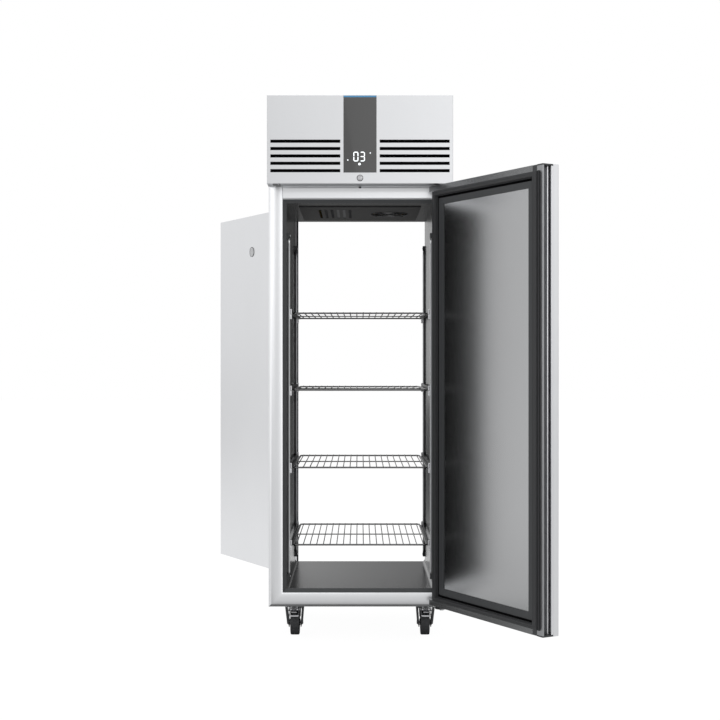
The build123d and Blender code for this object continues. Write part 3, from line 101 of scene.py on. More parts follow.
def combined(tree, operation, first, second):
    """Two values through one Math node; the second can be a plain number."""
    node = add_node(tree, "ShaderNodeMath", operation=operation)
    tree.links.new(first, node.inputs[0])
    if isinstance(second, float):
        node.inputs[1].default_value = second
    else:
        tree.links.new(second, node.inputs[1])
    return node.outputs[0]


def faded(tree, value, start, end, low, high):
    """A smooth step from low, where the value is at start, to high, where it is at end."""
    node = add_node(tree, "ShaderNodeMapRange", interpolation_type="SMOOTHSTEP")
    ends = {"From Min": start, "From Max": end, "To Min": low, "To Max": high}
    for label, number in ends.items():
        node.inputs[label].default_value = number
    tree.links.new(value, node.inputs["Value"])
    return node.outputs["Result"]


def reflected_only(tree, value):
    """The value in reflections, and 1 wherever the camera looks straight at the surface."""
    path = add_node(tree, "ShaderNodeLightPath")
    return combined(tree, "MAXIMUM", value, path.outputs["Is Camera Ray"])


def darkened(tree, coordinates, reach):
    """1 in the bright part of the room, and down to its darkest over a reach to the dark end."""
    place = add_node(tree, "ShaderNodeTexCoord")
    share = add_node(tree, "ShaderNodeVectorMath", operation="DOT_PRODUCT")
    share.inputs[1].default_value = DARK_END
    tree.links.new(place.outputs[coordinates], share.inputs[0])
    return reflected_only(tree, faded(tree, share.outputs["Value"], *reach, 1, ROOM_DARK))


def output_by_ray(tree, kind, diffuse, shown):
    """An output with one shader for diffuse rays and another for those that show the surface."""
    path = add_node(tree, "ShaderNodeLightPath").outputs
    either = combined(tree, "MAXIMUM", path["Is Camera Ray"], path["Is Glossy Ray"])
    choose = add_node(tree, "ShaderNodeMixShader")
    out = add_node(tree, kind)
    tree.links.new(combined(tree, "MAXIMUM", either, path["Is Transmission Ray"]), choose.inputs[0])
    tree.links.new(diffuse, choose.inputs[1])
    tree.links.new(shown, choose.inputs[2])
    tree.links.new(choose.outputs[0], out.inputs[0])


world = bpy.data.worlds.new("studio")
scene.world = world
world.use_nodes = True
tree = world.node_tree
tree.nodes.clear()

backdrop = add_node(tree, "ShaderNodeBackground")
backdrop.inputs["Color"].default_value = WHITE
tree.links.new(darkened(tree, "Generated", ROOM_REACH), backdrop.inputs["Strength"])
ambient = add_node(tree, "ShaderNodeBackground")
ambient.inputs["Color"].default_value = WHITE
ambient.inputs["Strength"].default_value = AMBIENT
output_by_ray(tree, "ShaderNodeOutputWorld", ambient.outputs[0], backdrop.outputs[0])
print("world: ambient", AMBIENT, "darkest reflection", ROOM_DARK)

# %% [markdown]
# The steel mirrors the floor as well. The floor's glow in reflections carries painted shade: it is
# dimmed in front of the cabinet, and again close round its foot, where a real floor lies in the
# cabinet's own shade. That lets the bottom rail fade towards its lower edge. The camera itself sees
# neither.

# %% Floor
FLOOR_SIZE = 60
FLOOR_SHADE = 0.82
SHADOW_SHARE = 0.12
FLOOR_GLOW = 1.1
FLOOR_REACH = (1.0, 3.5)
FRONT_SHADE = 0.74
FRONT_REACH = (-1, 1)
FOOTPRINT = (0.34, 0.37, 0)
UNDER_SHADE = 0.12
UNDER_REACH = 0.3

floor_material = bpy.data.materials.new("floor_white")
floor_material.use_nodes = True
tree = floor_material.node_tree
tree.nodes.clear()
paint = add_node(tree, "ShaderNodeBsdfDiffuse")
paint.inputs["Color"].default_value = (FLOOR_SHADE, FLOOR_SHADE, FLOOR_SHADE, 1)
across = add_node(tree, "ShaderNodeTexCoord")
centred = add_node(tree, "ShaderNodeSeparateXYZ")
either_side = add_node(tree, "ShaderNodeVectorMath", operation="ABSOLUTE")
beyond = add_node(tree, "ShaderNodeVectorMath", operation="SUBTRACT")
beyond.inputs[1].default_value = FOOTPRINT
past_edge = add_node(tree, "ShaderNodeSeparateXYZ")
tree.links.new(across.outputs["Object"], centred.inputs[0])
tree.links.new(across.outputs["Object"], either_side.inputs[0])
tree.links.new(either_side.outputs[0], beyond.inputs[0])
tree.links.new(beyond.outputs[0], past_edge.inputs[0])

# Painted shade: the floor's glow in reflections is lowered round the cabinet's foot and in front of
# it.
from_foot = combined(tree, "MAXIMUM", past_edge.outputs["X"], past_edge.outputs["Y"])
painted_contact_shade = faded(tree, from_foot, 0, UNDER_REACH, UNDER_SHADE, 1)
near_front = faded(tree, centred.outputs["Y"], *FRONT_REACH, FRONT_SHADE, 1)
painted_floor_shade = reflected_only(tree, combined(tree, "MULTIPLY", painted_contact_shade, near_front))
shaded = combined(tree, "MULTIPLY", darkened(tree, "Object", FLOOR_REACH), painted_floor_shade)
glow = add_node(tree, "ShaderNodeEmission")
glow.inputs["Color"].default_value = WHITE
tree.links.new(combined(tree, "MULTIPLY", shaded, FLOOR_GLOW), glow.inputs["Strength"])
soft_shadow = add_node(tree, "ShaderNodeMixShader")
soft_shadow.inputs[0].default_value = SHADOW_SHARE
tree.links.new(glow.outputs[0], soft_shadow.inputs[1])
tree.links.new(paint.outputs[0], soft_shadow.inputs[2])
output_by_ray(tree, "ShaderNodeOutputMaterial", paint.outputs[0], soft_shadow.outputs[0])

bpy.ops.mesh.primitive_plane_add(size=FLOOR_SIZE)
floor = bpy.context.object
floor.name = "floor"
floor.data.materials.append(floor_material)
print("floor", FLOOR_SIZE, "m wide")

# %% [markdown]
# The lamps are large square softboxes. A large box spreads the same power over a wider reflection,
# so that bare steel takes a broad sheen and does not clip to white.

# %% Lamps
# Each lamp: its place, its target, its width in metres and its power in watts.
LAMPS = {
    "key": ((2.2, -4.4, 2.9), (0, -0.3, 1.3), 5.2, 52),
    "side": ((-3.6, -3.2, 1.6), (0, 0, 1.0), 3.0, 22),
    "top": ((0, -0.6, 4.6), (0, 0, 1.0), 2.4, 16),
    "rear": ((-1.8, 4.4, 3.8), (0, 0, 1.0), 2.2, 50),
}


def add_lamp(name, place, target, size, power):
    """A square softbox that faces its target."""
    data = bpy.data.lights.new(name, "AREA")
    data.size = size
    data.energy = power
    lamp = bpy.data.objects.new(name, data)
    lamp.location = place
    lamp.rotation_euler = (Vector(target) - Vector(place)).to_track_quat("-Z", "Y").to_euler()
    lamp.visible_camera = False
    scene.collection.objects.link(lamp)


for name, (place, target, size, power) in LAMPS.items():
    add_lamp(name, place, target, size, power)
print("lamps", ", ".join(LAMPS))

# %% [markdown]
# Sheet steel for kitchens is ground with a belt, which leaves fine scratches that all run one way.
# One node group makes that grain for every metal: a noise that is stretched along the scratches.
# Its height goes to a Bump node in the material, and its tone moves the roughness a little, so
# that the sheen breaks up the way it does on real sheet.


# %% Shared effects
def new_group(name, inputs, outputs):
    """A shader node group with named sockets, given as (name, kind, default)."""
    group = bpy.data.node_groups.new(name, "ShaderNodeTree")
    for label, kind, default in inputs:
        socket = group.interface.new_socket(label, in_out="INPUT", socket_type=kind)
        socket.default_value = default
    for label, kind in outputs:
        group.interface.new_socket(label, in_out="OUTPUT", socket_type=kind)
    return group, add_node(group, "NodeGroupInput"), add_node(group, "NodeGroupOutput")


def scaled_noise(tree, scale_socket, detail, roughness=0.5):
    """Noise in the object's own metres, stretched by a vector."""
    place = add_node(tree, "ShaderNodeTexCoord")
    stretch = add_node(tree, "ShaderNodeVectorMath", operation="MULTIPLY")
    noise = add_node(tree, "ShaderNodeTexNoise")
    noise.inputs["Scale"].default_value = 1
    noise.inputs["Detail"].default_value = detail
    noise.inputs["Roughness"].default_value = roughness
    tree.links.new(place.outputs["Object"], stretch.inputs[0])
    tree.links.new(scale_socket, stretch.inputs[1])
    tree.links.new(stretch.outputs[0], noise.inputs["Vector"])
    return noise.outputs["Fac"]


def spread(tree, value, low, high):
    """Maps a 0 to 1 mask to the range between two sockets."""
    ranged = add_node(tree, "ShaderNodeMapRange")
    tree.links.new(value, ranged.inputs["Value"])
    tree.links.new(low, ranged.inputs["To Min"])
    tree.links.new(high, ranged.inputs["To Max"])
    return ranged.outputs["Result"]


grain_group, grain_in, grain_out = new_group(
    "brushed_grain",
    [("Stretch", "NodeSocketVector", (40, 40, 900)), ("Rough Low", "NodeSocketFloat", 0.25),
     ("Rough High", "NodeSocketFloat", 0.4)],
    [("Height", "NodeSocketFloat"), ("Roughness", "NodeSocketFloat")],
)
scratches = scaled_noise(grain_group, grain_in.outputs["Stretch"], 3, 0.6)
grain_group.links.new(scratches, grain_out.inputs["Height"])
grain_group.links.new(
    spread(grain_group, scratches, grain_in.outputs["Rough Low"], grain_in.outputs["Rough High"]),
    grain_out.inputs["Roughness"])

haze_group, haze_in, haze_out = new_group(
    "cleaning_haze",
    [("Clean", "NodeSocketColor", (0.6, 0.6, 0.6, 1)),
     ("Hazy", "NodeSocketColor", (0.56, 0.56, 0.56, 1)),
     ("Stretch", "NodeSocketVector", (3, 3, 1.6))],
    [("Color", "NodeSocketColor")],
)
haze = scaled_noise(haze_group, haze_in.outputs["Stretch"], 4, 0.55)
blend = add_node(haze_group, "ShaderNodeMix", data_type="RGBA")
haze_group.links.new(haze, blend.inputs["Factor"])
# A Mix node holds its colour sockets after those for numbers and vectors
MIX_A, MIX_B, MIX_RESULT = 6, 7, 2
haze_group.links.new(haze_in.outputs["Clean"], blend.inputs[MIX_A])
haze_group.links.new(haze_in.outputs["Hazy"], blend.inputs[MIX_B])
haze_group.links.new(blend.outputs[MIX_RESULT], haze_out.inputs["Color"])

grit_group, grit_in, grit_out = new_group(
    "moulded_grit",
    [("Density", "NodeSocketFloat", 900.0), ("Rough Low", "NodeSocketFloat", 0.45),
     ("Rough High", "NodeSocketFloat", 0.6)],
    [("Height", "NodeSocketFloat"), ("Roughness", "NodeSocketFloat")],
)
spacing = add_node(grit_group, "ShaderNodeCombineXYZ")
for axis in "XYZ":
    grit_group.links.new(grit_in.outputs["Density"], spacing.inputs[axis])
speckle = scaled_noise(grit_group, spacing.outputs[0], 2)
grit_group.links.new(speckle, grit_out.inputs["Height"])
grit_group.links.new(
    spread(grit_group, speckle, grit_in.outputs["Rough Low"], grit_in.outputs["Rough High"]),
    grit_out.inputs["Roughness"])
print("groups", [g.name for g in bpy.data.node_groups])

# %% [markdown]
# Each finish is one Principled BSDF. What is the same all over a surface, such as how metallic it
# is, is set on the shader. The groups give only what changes: colour, roughness and the bump.

# %% Finishes
ACROSS_GRAIN = 1400
ALONG_GRAIN = 14
GRAIN_RELIEF = 0.02
GRAIN_DEPTH = 0.0004
GRIT_DEPTH = 0.0003


def shade(*rgb):
    """A colour written as 0 to 255, as it looks on a screen, in the linear values of a shader."""
    linear = [(v / 255 / 12.92) if v <= 10 else ((v / 255 + 0.055) / 1.055) ** 2.4 for v in rgb]
    return (*linear, 1)


def new_finish(name):
    """An empty material with its shader and the bump in front of the shader's normal."""
    material = bpy.data.materials.new(name)
    material.use_nodes = True
    tree = material.node_tree
    shader = tree.nodes["Principled BSDF"]
    bump = add_node(tree, "ShaderNodeBump")
    tree.links.new(bump.outputs["Normal"], shader.inputs["Normal"])
    return material, tree, shader, bump


def use_group(tree, group, **values):
    """The group placed in a material, with its own values; underscores stand for spaces."""
    node = add_node(tree, "ShaderNodeGroup", node_tree=group)
    for label, value in values.items():
        node.inputs[label.replace("_", " ")].default_value = value
    return node


def brushed(name, clean, hazy, along, roughness):
    """Ground metal: along is the direction of the grain, as X, Y or Z."""
    material, tree, shader, bump = new_finish(name)
    stretch = [ALONG_GRAIN if axis == along else ACROSS_GRAIN for axis in "XYZ"]
    grain = use_group(tree, grain_group, Stretch=stretch,
                      Rough_Low=roughness[0], Rough_High=roughness[1])
    haze = use_group(tree, haze_group, Clean=shade(*clean), Hazy=shade(*hazy))
    tree.links.new(haze.outputs["Color"], shader.inputs["Base Color"])
    tree.links.new(grain.outputs["Roughness"], shader.inputs["Roughness"])
    tree.links.new(grain.outputs["Height"], bump.inputs["Height"])
    bump.inputs["Strength"].default_value = GRAIN_RELIEF
    bump.inputs["Distance"].default_value = GRAIN_DEPTH
    shader.inputs["Metallic"].default_value = 1
    return material


def moulded(name, clean, hazy, roughness, density=900.0, relief=0.08, coat=0.0, glow=0.0,
            shine=0.5):
    """Plastic, rubber or paint with a fine even grain; glow lights it from inside."""
    material, tree, shader, bump = new_finish(name)
    grit = use_group(tree, grit_group, Density=density,
                     Rough_Low=roughness[0], Rough_High=roughness[1])
    haze = use_group(tree, haze_group, Clean=shade(*clean), Hazy=shade(*hazy))
    tree.links.new(haze.outputs["Color"], shader.inputs["Base Color"])
    tree.links.new(grit.outputs["Roughness"], shader.inputs["Roughness"])
    tree.links.new(grit.outputs["Height"], bump.inputs["Height"])
    bump.inputs["Strength"].default_value = relief
    bump.inputs["Distance"].default_value = GRIT_DEPTH
    shader.inputs["Coat Weight"].default_value = coat
    shader.inputs["Specular IOR Level"].default_value = shine
    shader.inputs["Emission Strength"].default_value = glow
    if glow:
        tree.links.new(haze.outputs["Color"], shader.inputs["Emission Color"])
    return material


STEEL = (206, 207, 209)
STEEL_HAZE = (200, 201, 203)
# Each metal: its colour, its haze, the run of its grain and the range of its roughness.
METALS = {
    "steel_upright": (STEEL, STEEL_HAZE, "Z", (0.3, 0.42)),
    "steel_level": (STEEL, STEEL_HAZE, "X", (0.3, 0.42)),
    # Painted light: a lighter copy of the steel for the door skins, the face frames and the pull hem.
    "lit_steel": ((226, 227, 229), (220, 221, 223), "Z", (0.3, 0.42)),
    # Painted shade: the liner is a darker copy of the steel, for the dark inside of the cabinet.
    "liner": ((118, 119, 120), (110, 111, 112), "Z", (0.2, 0.3)),
    "door_liner": ((174, 175, 176), (168, 169, 170), "Z", (0.15, 0.24)),
    # Painted shade: a darker copy of the steel for the return lips of the doors.
    "shaded_lip_steel": ((128, 129, 130), (120, 121, 122), "X", (0.2, 0.3)),
    "galvanised": ((176, 178, 180), (160, 162, 165), "X", (0.4, 0.6)),
    "aluminium": ((158, 159, 161), (150, 151, 153), "Z", (0.3, 0.42)),
    "zinc": ((214, 214, 216), (200, 200, 203), "X", (0.22, 0.36)),
    # Painted shade: a darker copy of the zinc for the castor forks and races.
    "shaded_fork_zinc": ((150, 151, 153), (136, 137, 139), "Z", (0.25, 0.4)),
    # Painted shade: the runners, the shelf wires and the fan guard take darker copies of their metal
    # for the shade inside the cabinet.
    "shaded_runner_steel": ((84, 85, 86), (76, 77, 78), "Y", (0.25, 0.4)),
    "shaded_shelf_chrome": ((108, 108, 109), (98, 98, 99), "Y", (0.2, 0.3)),
    # Painted light: a lighter copy of the steel, so that the uprights' front edges show as bright
    # lines.
    "lit_upright_steel": ((218, 219, 220), (206, 207, 208), "Z", (0.3, 0.42)),
    # Painted shade: the coil fins are darkened for the shade they stand in.
    "coil_fins": ((104, 105, 107), (92, 93, 95), "Z", (0.35, 0.5)),
    "copper": ((214, 142, 108), (190, 118, 84), "Z", (0.2, 0.4)),
}
# Each plastic, rubber or paint: its colour, its haze, its roughness and what else sets it apart.
MOULDINGS = {
    "foam": ((226, 205, 150), (212, 188, 130), (0.8, 0.95), {"density": 260.0, "relief": 0.5}),
    "gasket": ((46, 47, 49), (40, 41, 43), (0.5, 0.65), {}),
    "dark_trim": ((58, 60, 62), (52, 54, 56), (0.42, 0.55), {}),
    # Painted shade: near-black with almost no shine, for the louvre screens behind the slots, the
    # gasket foot and the lock's grooves.
    "painted_shade_black": ((6, 6, 7), (4, 4, 5), (0.8, 0.95), {"shine": 0.05}),
    "duct_black": ((18, 18, 19), (15, 15, 16), (0.4, 0.55), {"shine": 0.3}),
    "fan_black": ((34, 34, 36), (28, 28, 30), (0.45, 0.6), {}),
    "black_paint": ((22, 22, 24), (18, 18, 20), (0.25, 0.35), {"coat": 0.4}),
    "dark_bracket": ((48, 49, 51), (42, 43, 45), (0.35, 0.5), {}),
    "tread": ((62, 63, 65), (54, 55, 57), (0.6, 0.75), {"density": 500.0, "relief": 0.15}),
    "control_glass": ((56, 56, 56), (54, 54, 54), (0.12, 0.18), {"relief": 0.0, "coat": 0.5}),
    "wheel_core": ((84, 85, 88), (76, 77, 80), (0.45, 0.6), {}),
    "display_light": ((244, 248, 250), (236, 242, 246), (0.3, 0.4), {"relief": 0.0, "glow": 0.9}),
    "accent_blue": ((70, 150, 200), (62, 142, 192), (0.2, 0.3), {"relief": 0.0, "coat": 0.4}),
    "badge": ((214, 215, 217), (206, 207, 209), (0.25, 0.35), {"coat": 0.3}),
}
FINISHES = {name: brushed(name, *values) for name, values in METALS.items()}
for name, (*values, extras) in MOULDINGS.items():
    FINISHES[name] = moulded(name, *values, **extras)
print("finishes", len(FINISHES))

# %% [markdown]
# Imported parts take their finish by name. Those that are alike on both doors, shelves or castors are
# found by an ending or a start.

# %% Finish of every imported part
BY_NAME = {
    "outer_shell": "steel_upright", "front_frame": "lit_steel", "rear_frame": "lit_steel",
    "unit_cover": "steel_level", "front_fascia": "steel_level", "rear_fascia": "steel_level",
    "inner_liner": "liner", "air_duct": "duct_black", "insulation": "foam",
    "breaker_strips": "dark_trim", "louvre_screens": "painted_shade_black",
    "control_panel": "control_glass", "door_switches": "dark_trim",
    "hinge_plates": "dark_bracket", "hinge_pins": "zinc", "lock_barrel": "zinc",
    "lock_bolt": "zinc",
    "uprights": "lit_upright_steel", "upright_clips": "dark_trim", "shelf_runners": "shaded_runner_steel",
    "castor_plates": "zinc", "condenser_coil": "coil_fins", "evaporator_coil": "coil_fins",
    "condenser_fan_shroud": "galvanised", "compressor": "black_paint",
    "control_box": "dark_bracket", "drip_tray": "galvanised", "unit_deck": "galvanised",
    "refrigerant_pipes": "copper",
    "condenser_fan": "fan_black", "evaporator_fan": "fan_black", "rear_door_badge": "badge",
}
BY_ENDING = {
    "_door_skin": "lit_steel", "_door_foam": "foam", "_door_liner": "door_liner",
    "_door_frame": "dark_trim", "_door_gasket": "gasket", "_door_handle": "aluminium",
    "_door_end_caps": "dark_trim",
}
BY_START = {
    "shelf_": "shaded_shelf_chrome", "castor_fork": "zinc", "castor_brake": "zinc",
    "castor_wheel": "tread",
}


def finish_of(node):
    """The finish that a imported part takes, by its name, its ending or its start."""
    if node in BY_NAME:
        return BY_NAME[node]
    for ending, finish in BY_ENDING.items():
        if node.endswith(ending):
            return finish
    return next(finish for start, finish in BY_START.items() if node.startswith(start))


def dress(obj, finish):
    """Puts one finish on all of an object's material slots."""
    obj.data.materials.clear()
    obj.data.materials.append(FINISHES[finish])


for node, obj in NODES.items():
    dress(obj, finish_of(node))
print("dressed", len(NODES), "parts")

# %% [markdown]
# Every new piece is a mesh or a curve that rides on one body of the frame. Three ways of making
# cover nearly all of them: a turned piece is a profile swept round an axis, a pressed or sawn piece
# is a flat outline with a thickness, and a wire is a curve with a round section. The helpers below
# take millimetres, because that is what a maker would measure.

# %% Helpers for making pieces
UP = Vector((0, 0, 1))
FORWARD = Vector((0, -1, 0))
SHARP_ANGLE = radians(38)


def place_at(x, y, z, axis=UP, across=None):
    """A frame of axes at a point in millimetres; local Z runs along the axis."""
    axis = Vector(axis).normalized()
    if across is None:
        across = Vector((1, 0, 0)) if abs(axis.x) < 0.9 else Vector((0, 1, 0))
    side = (Vector(across) - axis * axis.dot(Vector(across))).normalized()
    turn = Matrix((side, axis.cross(side), axis)).transposed().to_4x4()
    return Matrix.Translation(Vector((x, y, z))) @ turn


def from_side(x, y=0, z=0):
    """Axes for an outline seen from the side: local X is the cabinet's Y, and local Y is up."""
    return place_at(x, y, z, (1, 0, 0), (0, 1, 0))


def turned(bm, profile, place, steps=48):
    """Sweeps a profile of (radius, height) points round the local Z axis."""
    rings = []
    for radius, height in profile:
        count = steps if radius else 1
        angles = [2 * pi * step / count for step in range(count)]
        rings.append([bm.verts.new(place @ Vector((radius * cos(a), radius * sin(a), height)))
                      for a in angles])
    for low, high in zip(rings, rings[1:]):
        for step in range(steps):
            ahead = step + 1
            # A ring of one point gives the same corner twice, and the keys hold it once
            corners = (low[step % len(low)], low[ahead % len(low)],
                       high[ahead % len(high)], high[step % len(high)])
            bm.faces.new(dict.fromkeys(corners))


def pressed(bm, outline, thick, place, shift=None):
    """Gives a flat outline a thickness along local Z; shift can move each point in depth."""
    shift = shift or (lambda x, y: 0)
    layers = [
        [bm.verts.new(place @ Vector((x, y, depth + shift(x, y)))) for x, y in outline]
        for depth in (0, thick)
    ]
    bm.faces.new(layers[0][::-1])
    bm.faces.new(layers[1])
    for start, end in zip(range(len(outline)), [*range(1, len(outline)), 0]):
        bm.faces.new((layers[0][start], layers[0][end], layers[1][end], layers[1][start]))


def lofted(bm, rows, around=False):
    """Skins over rows of points; around joins the last row to the first, else caps close it."""
    rings = [[bm.verts.new(point) for point in row] for row in rows]
    ahead = [*rings[1:], rings[0]] if around else rings[1:]
    for near, far in zip(rings, ahead):
        for k in range(len(near) - 1):
            bm.faces.new((near[k], near[k + 1], far[k + 1], far[k]))
    if not around:
        bm.faces.new(rings[0])
        bm.faces.new(rings[-1][::-1])


def arc(x, y, radius, start, end, steps=8):
    """Points on an arc, with its angles in degrees."""
    angles = [radians(start + (end - start) * step / steps) for step in range(steps + 1)]
    return [(x + radius * cos(a), y + radius * sin(a)) for a in angles]


def oblong(x1, y1, x2, y2):
    """The outline of a rectangle between two corners."""
    return [(x1, y1), (x2, y1), (x2, y2), (x1, y2)]


def finish_piece(obj, finish, body):
    """Links a new object, gives it its finish, and hangs it on its body."""
    scene.collection.objects.link(obj)
    dress(obj, finish)
    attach(obj, body)
    return obj


def mesh_piece(name, bm, finish, body, bevel=0.0):
    """Turns a bmesh in millimetres into a smooth-shaded piece, with softened edges if asked."""
    bmesh.ops.recalc_face_normals(bm, faces=bm.faces)
    bmesh.ops.scale(bm, vec=(MM, MM, MM), verts=bm.verts)
    mesh = bpy.data.meshes.new(name)
    bm.to_mesh(mesh)
    bm.free()
    mesh.shade_smooth()
    mesh.set_sharp_from_angle(angle=SHARP_ANGLE)
    piece = finish_piece(bpy.data.objects.new(name, mesh), finish, body)
    if bevel:
        soften = piece.modifiers.new("softened edges", "BEVEL")
        soften.width = bevel * MM
        soften.segments = 2
        soften.limit_method = "ANGLE"
        soften.angle_limit = SHARP_ANGLE
    return piece


def wire_piece(name, wires, finish, body):
    """Round wires as one curve; a wire is (points, radius, closed)."""
    curve = bpy.data.curves.new(name, "CURVE")
    curve.dimensions = "3D"
    curve.bevel_depth = MM
    curve.bevel_resolution = 3
    curve.use_fill_caps = True
    for points, radius, closed in wires:
        spline = curve.splines.new("POLY")
        spline.points.add(len(points) - 1)
        for knot, point in zip(spline.points, points):
            knot.co = (*(Vector(point) * MM), 1)
            knot.radius = radius
        spline.use_cyclic_u = closed
        spline.use_smooth = True
    return finish_piece(bpy.data.objects.new(name, curve), finish, body)


print("helpers ready")

# %% [markdown]
# A wire shelf is a rim of thick bright wire with thinner wires laid over it from front to back and
# welded, so that their ends stand up as a row of small bumps along the front and rear rails. One
# stiffening bar crosses below them. Drawing the wires as curves keeps them round and light, and the
# bumps come by themselves because the thin wires lie higher than the rim.

# %% Wire shelves
RIM_RADIUS = 3.4
WIRE_RADIUS = 2
BAR_RADIUS = 2.4
WIRES = 20
WIRE_PITCH = 25.6
CORNER = 14
SHELF_LEVELS = (375, 672, 970, 1265)


def rim_loop(half_x, half_y, z, corner):
    """A rectangle with rounded corners, as points of a closed wire."""
    loop = []
    for sx, sy, start in ((1, 1, 0), (-1, 1, 90), (-1, -1, 180), (1, -1, 270)):
        loop += arc(sx * (half_x - corner), sy * (half_y - corner), corner, start, start + 90, 6)
    return [(x, y, z) for x, y in loop]


for number in range(1, len(SHELF_LEVELS) + 1):
    node = f"shelf_{number}"
    low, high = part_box(node)
    half_x, half_y = high[0] / MM, high[1] / MM
    top = high[2] / MM
    rim_z = top - 4.8
    wire_z = top - WIRE_RADIUS
    wires = [(rim_loop(half_x - RIM_RADIUS, half_y - RIM_RADIUS, rim_z, CORNER), RIM_RADIUS, True)]
    for index in range(WIRES):
        x = (index - (WIRES - 1) / 2) * WIRE_PITCH
        end = half_y - 0.5
        wires.append(([(x, -end, wire_z - 0.6), (x, -end + 4, wire_z), (x, end - 4, wire_z),
                       (x, end, wire_z - 0.6)], WIRE_RADIUS, False))
    side = half_x - 2 * RIM_RADIUS
    bar_z = wire_z - WIRE_RADIUS - BAR_RADIUS + 0.3
    wires.append(([(-side, 0, bar_z), (side, 0, bar_z)], BAR_RADIUS, False))
    shelf = wire_piece(f"{node}_wires", wires, "shaded_shelf_chrome", node)
    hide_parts(node)
print("shelves", len(SHELF_LEVELS), "wires in each", WIRES)

# %% [markdown]
# The shelves hang on four slotted uprights: thin channels with a row of punched slots that the
# runners' hooks drop into. A row of quads with every second cell left out makes real slots, and a
# solidify step gives the sheet its thickness, so the slots have edges that catch the light.

# %% Slotted uprights
SLOT_PITCH = 25
SLOT_HIGH = 10
SLOT_WIDE = 4
UPRIGHT_Y = (-300, 294)
UPRIGHT_DEEP = 10.4
UPRIGHT_HALF = 9.4
UPRIGHT_SHEET = 1.2


def punched_channel(bm, wall_x, face_x, y, half, low, high):
    """A channel that is open to the wall, with slots punched through the side that faces in."""
    rows = [low]
    level = low + SLOT_PITCH / 2
    while level + SLOT_HIGH < high:
        rows += [level, level + SLOT_HIGH]
        level += SLOT_PITCH
    rows.append(high)
    columns = [(wall_x, y - half), (face_x, y - half), (face_x, y - SLOT_WIDE / 2),
               (face_x, y + SLOT_WIDE / 2), (face_x, y + half), (wall_x, y + half)]
    grid = [[bm.verts.new((x, across, z)) for x, across in columns] for z in rows]
    for row in range(len(rows) - 1):
        for column in range(len(columns) - 1):
            if column == 2 and row % 2 == 1:
                continue
            bm.faces.new((grid[row][column], grid[row][column + 1],
                          grid[row + 1][column + 1], grid[row + 1][column]))


low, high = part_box("uprights")
bm = bmesh.new()
for hand in (-1, 1):
    for y in UPRIGHT_Y:
        punched_channel(bm, hand * high[0] / MM, hand * (high[0] / MM - UPRIGHT_DEEP), y,
                        UPRIGHT_HALF, low[2] / MM, high[2] / MM)
uprights = mesh_piece("slotted_uprights", bm, "lit_upright_steel", "cabinet")
sheet = uprights.modifiers.new("sheet", "SOLIDIFY")
sheet.thickness = UPRIGHT_SHEET * MM
sheet.offset = 0
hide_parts("uprights")
print("uprights from", low[2], "to", high[2])

# %% [markdown]
# The runners end in bright tabs that hook into the slots. Each tab stands just in front of its
# upright, with one rivet through its lower half.

# %% Hook tabs of the runners
TAB = (262.6, 273, -23, 15)
TAB_AHEAD = 12
TAB_SHEET = 1.5
RIVET_RISE = 8

near, far, low_z, high_z = TAB
bm = bmesh.new()
for level in SHELF_LEVELS:
    for y in UPRIGHT_Y:
        for hand in (-1, 1):
            outline = oblong(hand * near, level + low_z, hand * far, level + high_z)
            pressed(bm, outline, TAB_SHEET,
                    place_at(0, y - TAB_AHEAD + TAB_SHEET, 0, FORWARD))
            rivet = place_at(hand * (near + far) / 2, y - TAB_AHEAD, level + low_z + RIVET_RISE,
                             FORWARD)
            turned(bm, [(2.6, 0), (2.4, 0.7), (1.4, 1.2), (0, 1.3)], rivet, 20)
mesh_piece("hook_tabs", bm, "zinc", "cabinet", bevel=0.4)
print("hook tabs", len(SHELF_LEVELS) * len(UPRIGHT_Y) * 2)

# %% [markdown]
# The gasket is the soft grey-black frame that seals the door. It is one extrusion: a foot that
# snaps into the door, a bellows that gives, and a flat strip that holds the magnet. It is cut and
# welded at forty-five degrees in the corners. Here its section is carried round the four mitred
# corners of a rectangle, so the folds of the bellows meet as they do in the real one. The foot is a
# second section beside the bellows, in a near-black finish that paints the shadow in the groove
# where it snaps in, so it shows as a thin black line.

# %% Door places
HINGE = Vector((309.5, -402, 0))
SKIN_INSIDE = -31
SKIN_OUTSIDE = 36
SIDES = {"front": 1, "rear": -1}
DOOR_ANGLE = radians(60)
DOOR_ALONG = Vector((cos(DOOR_ANGLE), -sin(DOOR_ANGLE), 0))
DOOR_OUT = Vector((sin(DOOR_ANGLE), cos(DOOR_ANGLE), 0))


def door_place(side, n, height, t, outwards=False):
    """Axes on an open door: n from the hinge to the free edge, t towards the outside."""
    turn = SIDES[side]
    along, out = DOOR_ALONG * turn, DOOR_OUT * turn
    point = HINGE * turn + along * n + out * t + UP * height
    return place_at(*point, out if outwards else -out, -along if outwards else along)


print("doors hang at", HINGE.x, -HINGE.y)

# %% Door gaskets
GASKET_OPENING = (24, 195.3, 613.5, 1698.8)
GASKET_RIM = (-1, 175, 642, 1721)
GASKET_SECTION = [
    (0.02, 0), (0, 1), (0, 4.6), (0.05, 5.8), (0.15, 6.1), (0.11, 7.6), (0.18, 8.9), (0.12, 10.4),
    (0.18, 11.7), (0.14, 13.2), (0.16, 14.8), (0.21, 15.4), (0.47, 15.4), (0.5, 14.9), (0.53, 15.4),
    (0.79, 15.4), (0.84, 14.8), (0.86, 13.2), (0.82, 11.7), (0.88, 10.4), (0.82, 8.9), (0.89, 7.6),
    (0.85, 6.1), (0.95, 5.8), (1, 4.6), (1, 1), (0.98, 0),
]
GASKET_FOOT = [(-0.36, 0.1), (-0.36, 0.5), (0.02, 0.5), (0.02, 0.1), (-0.36, 0.1)]


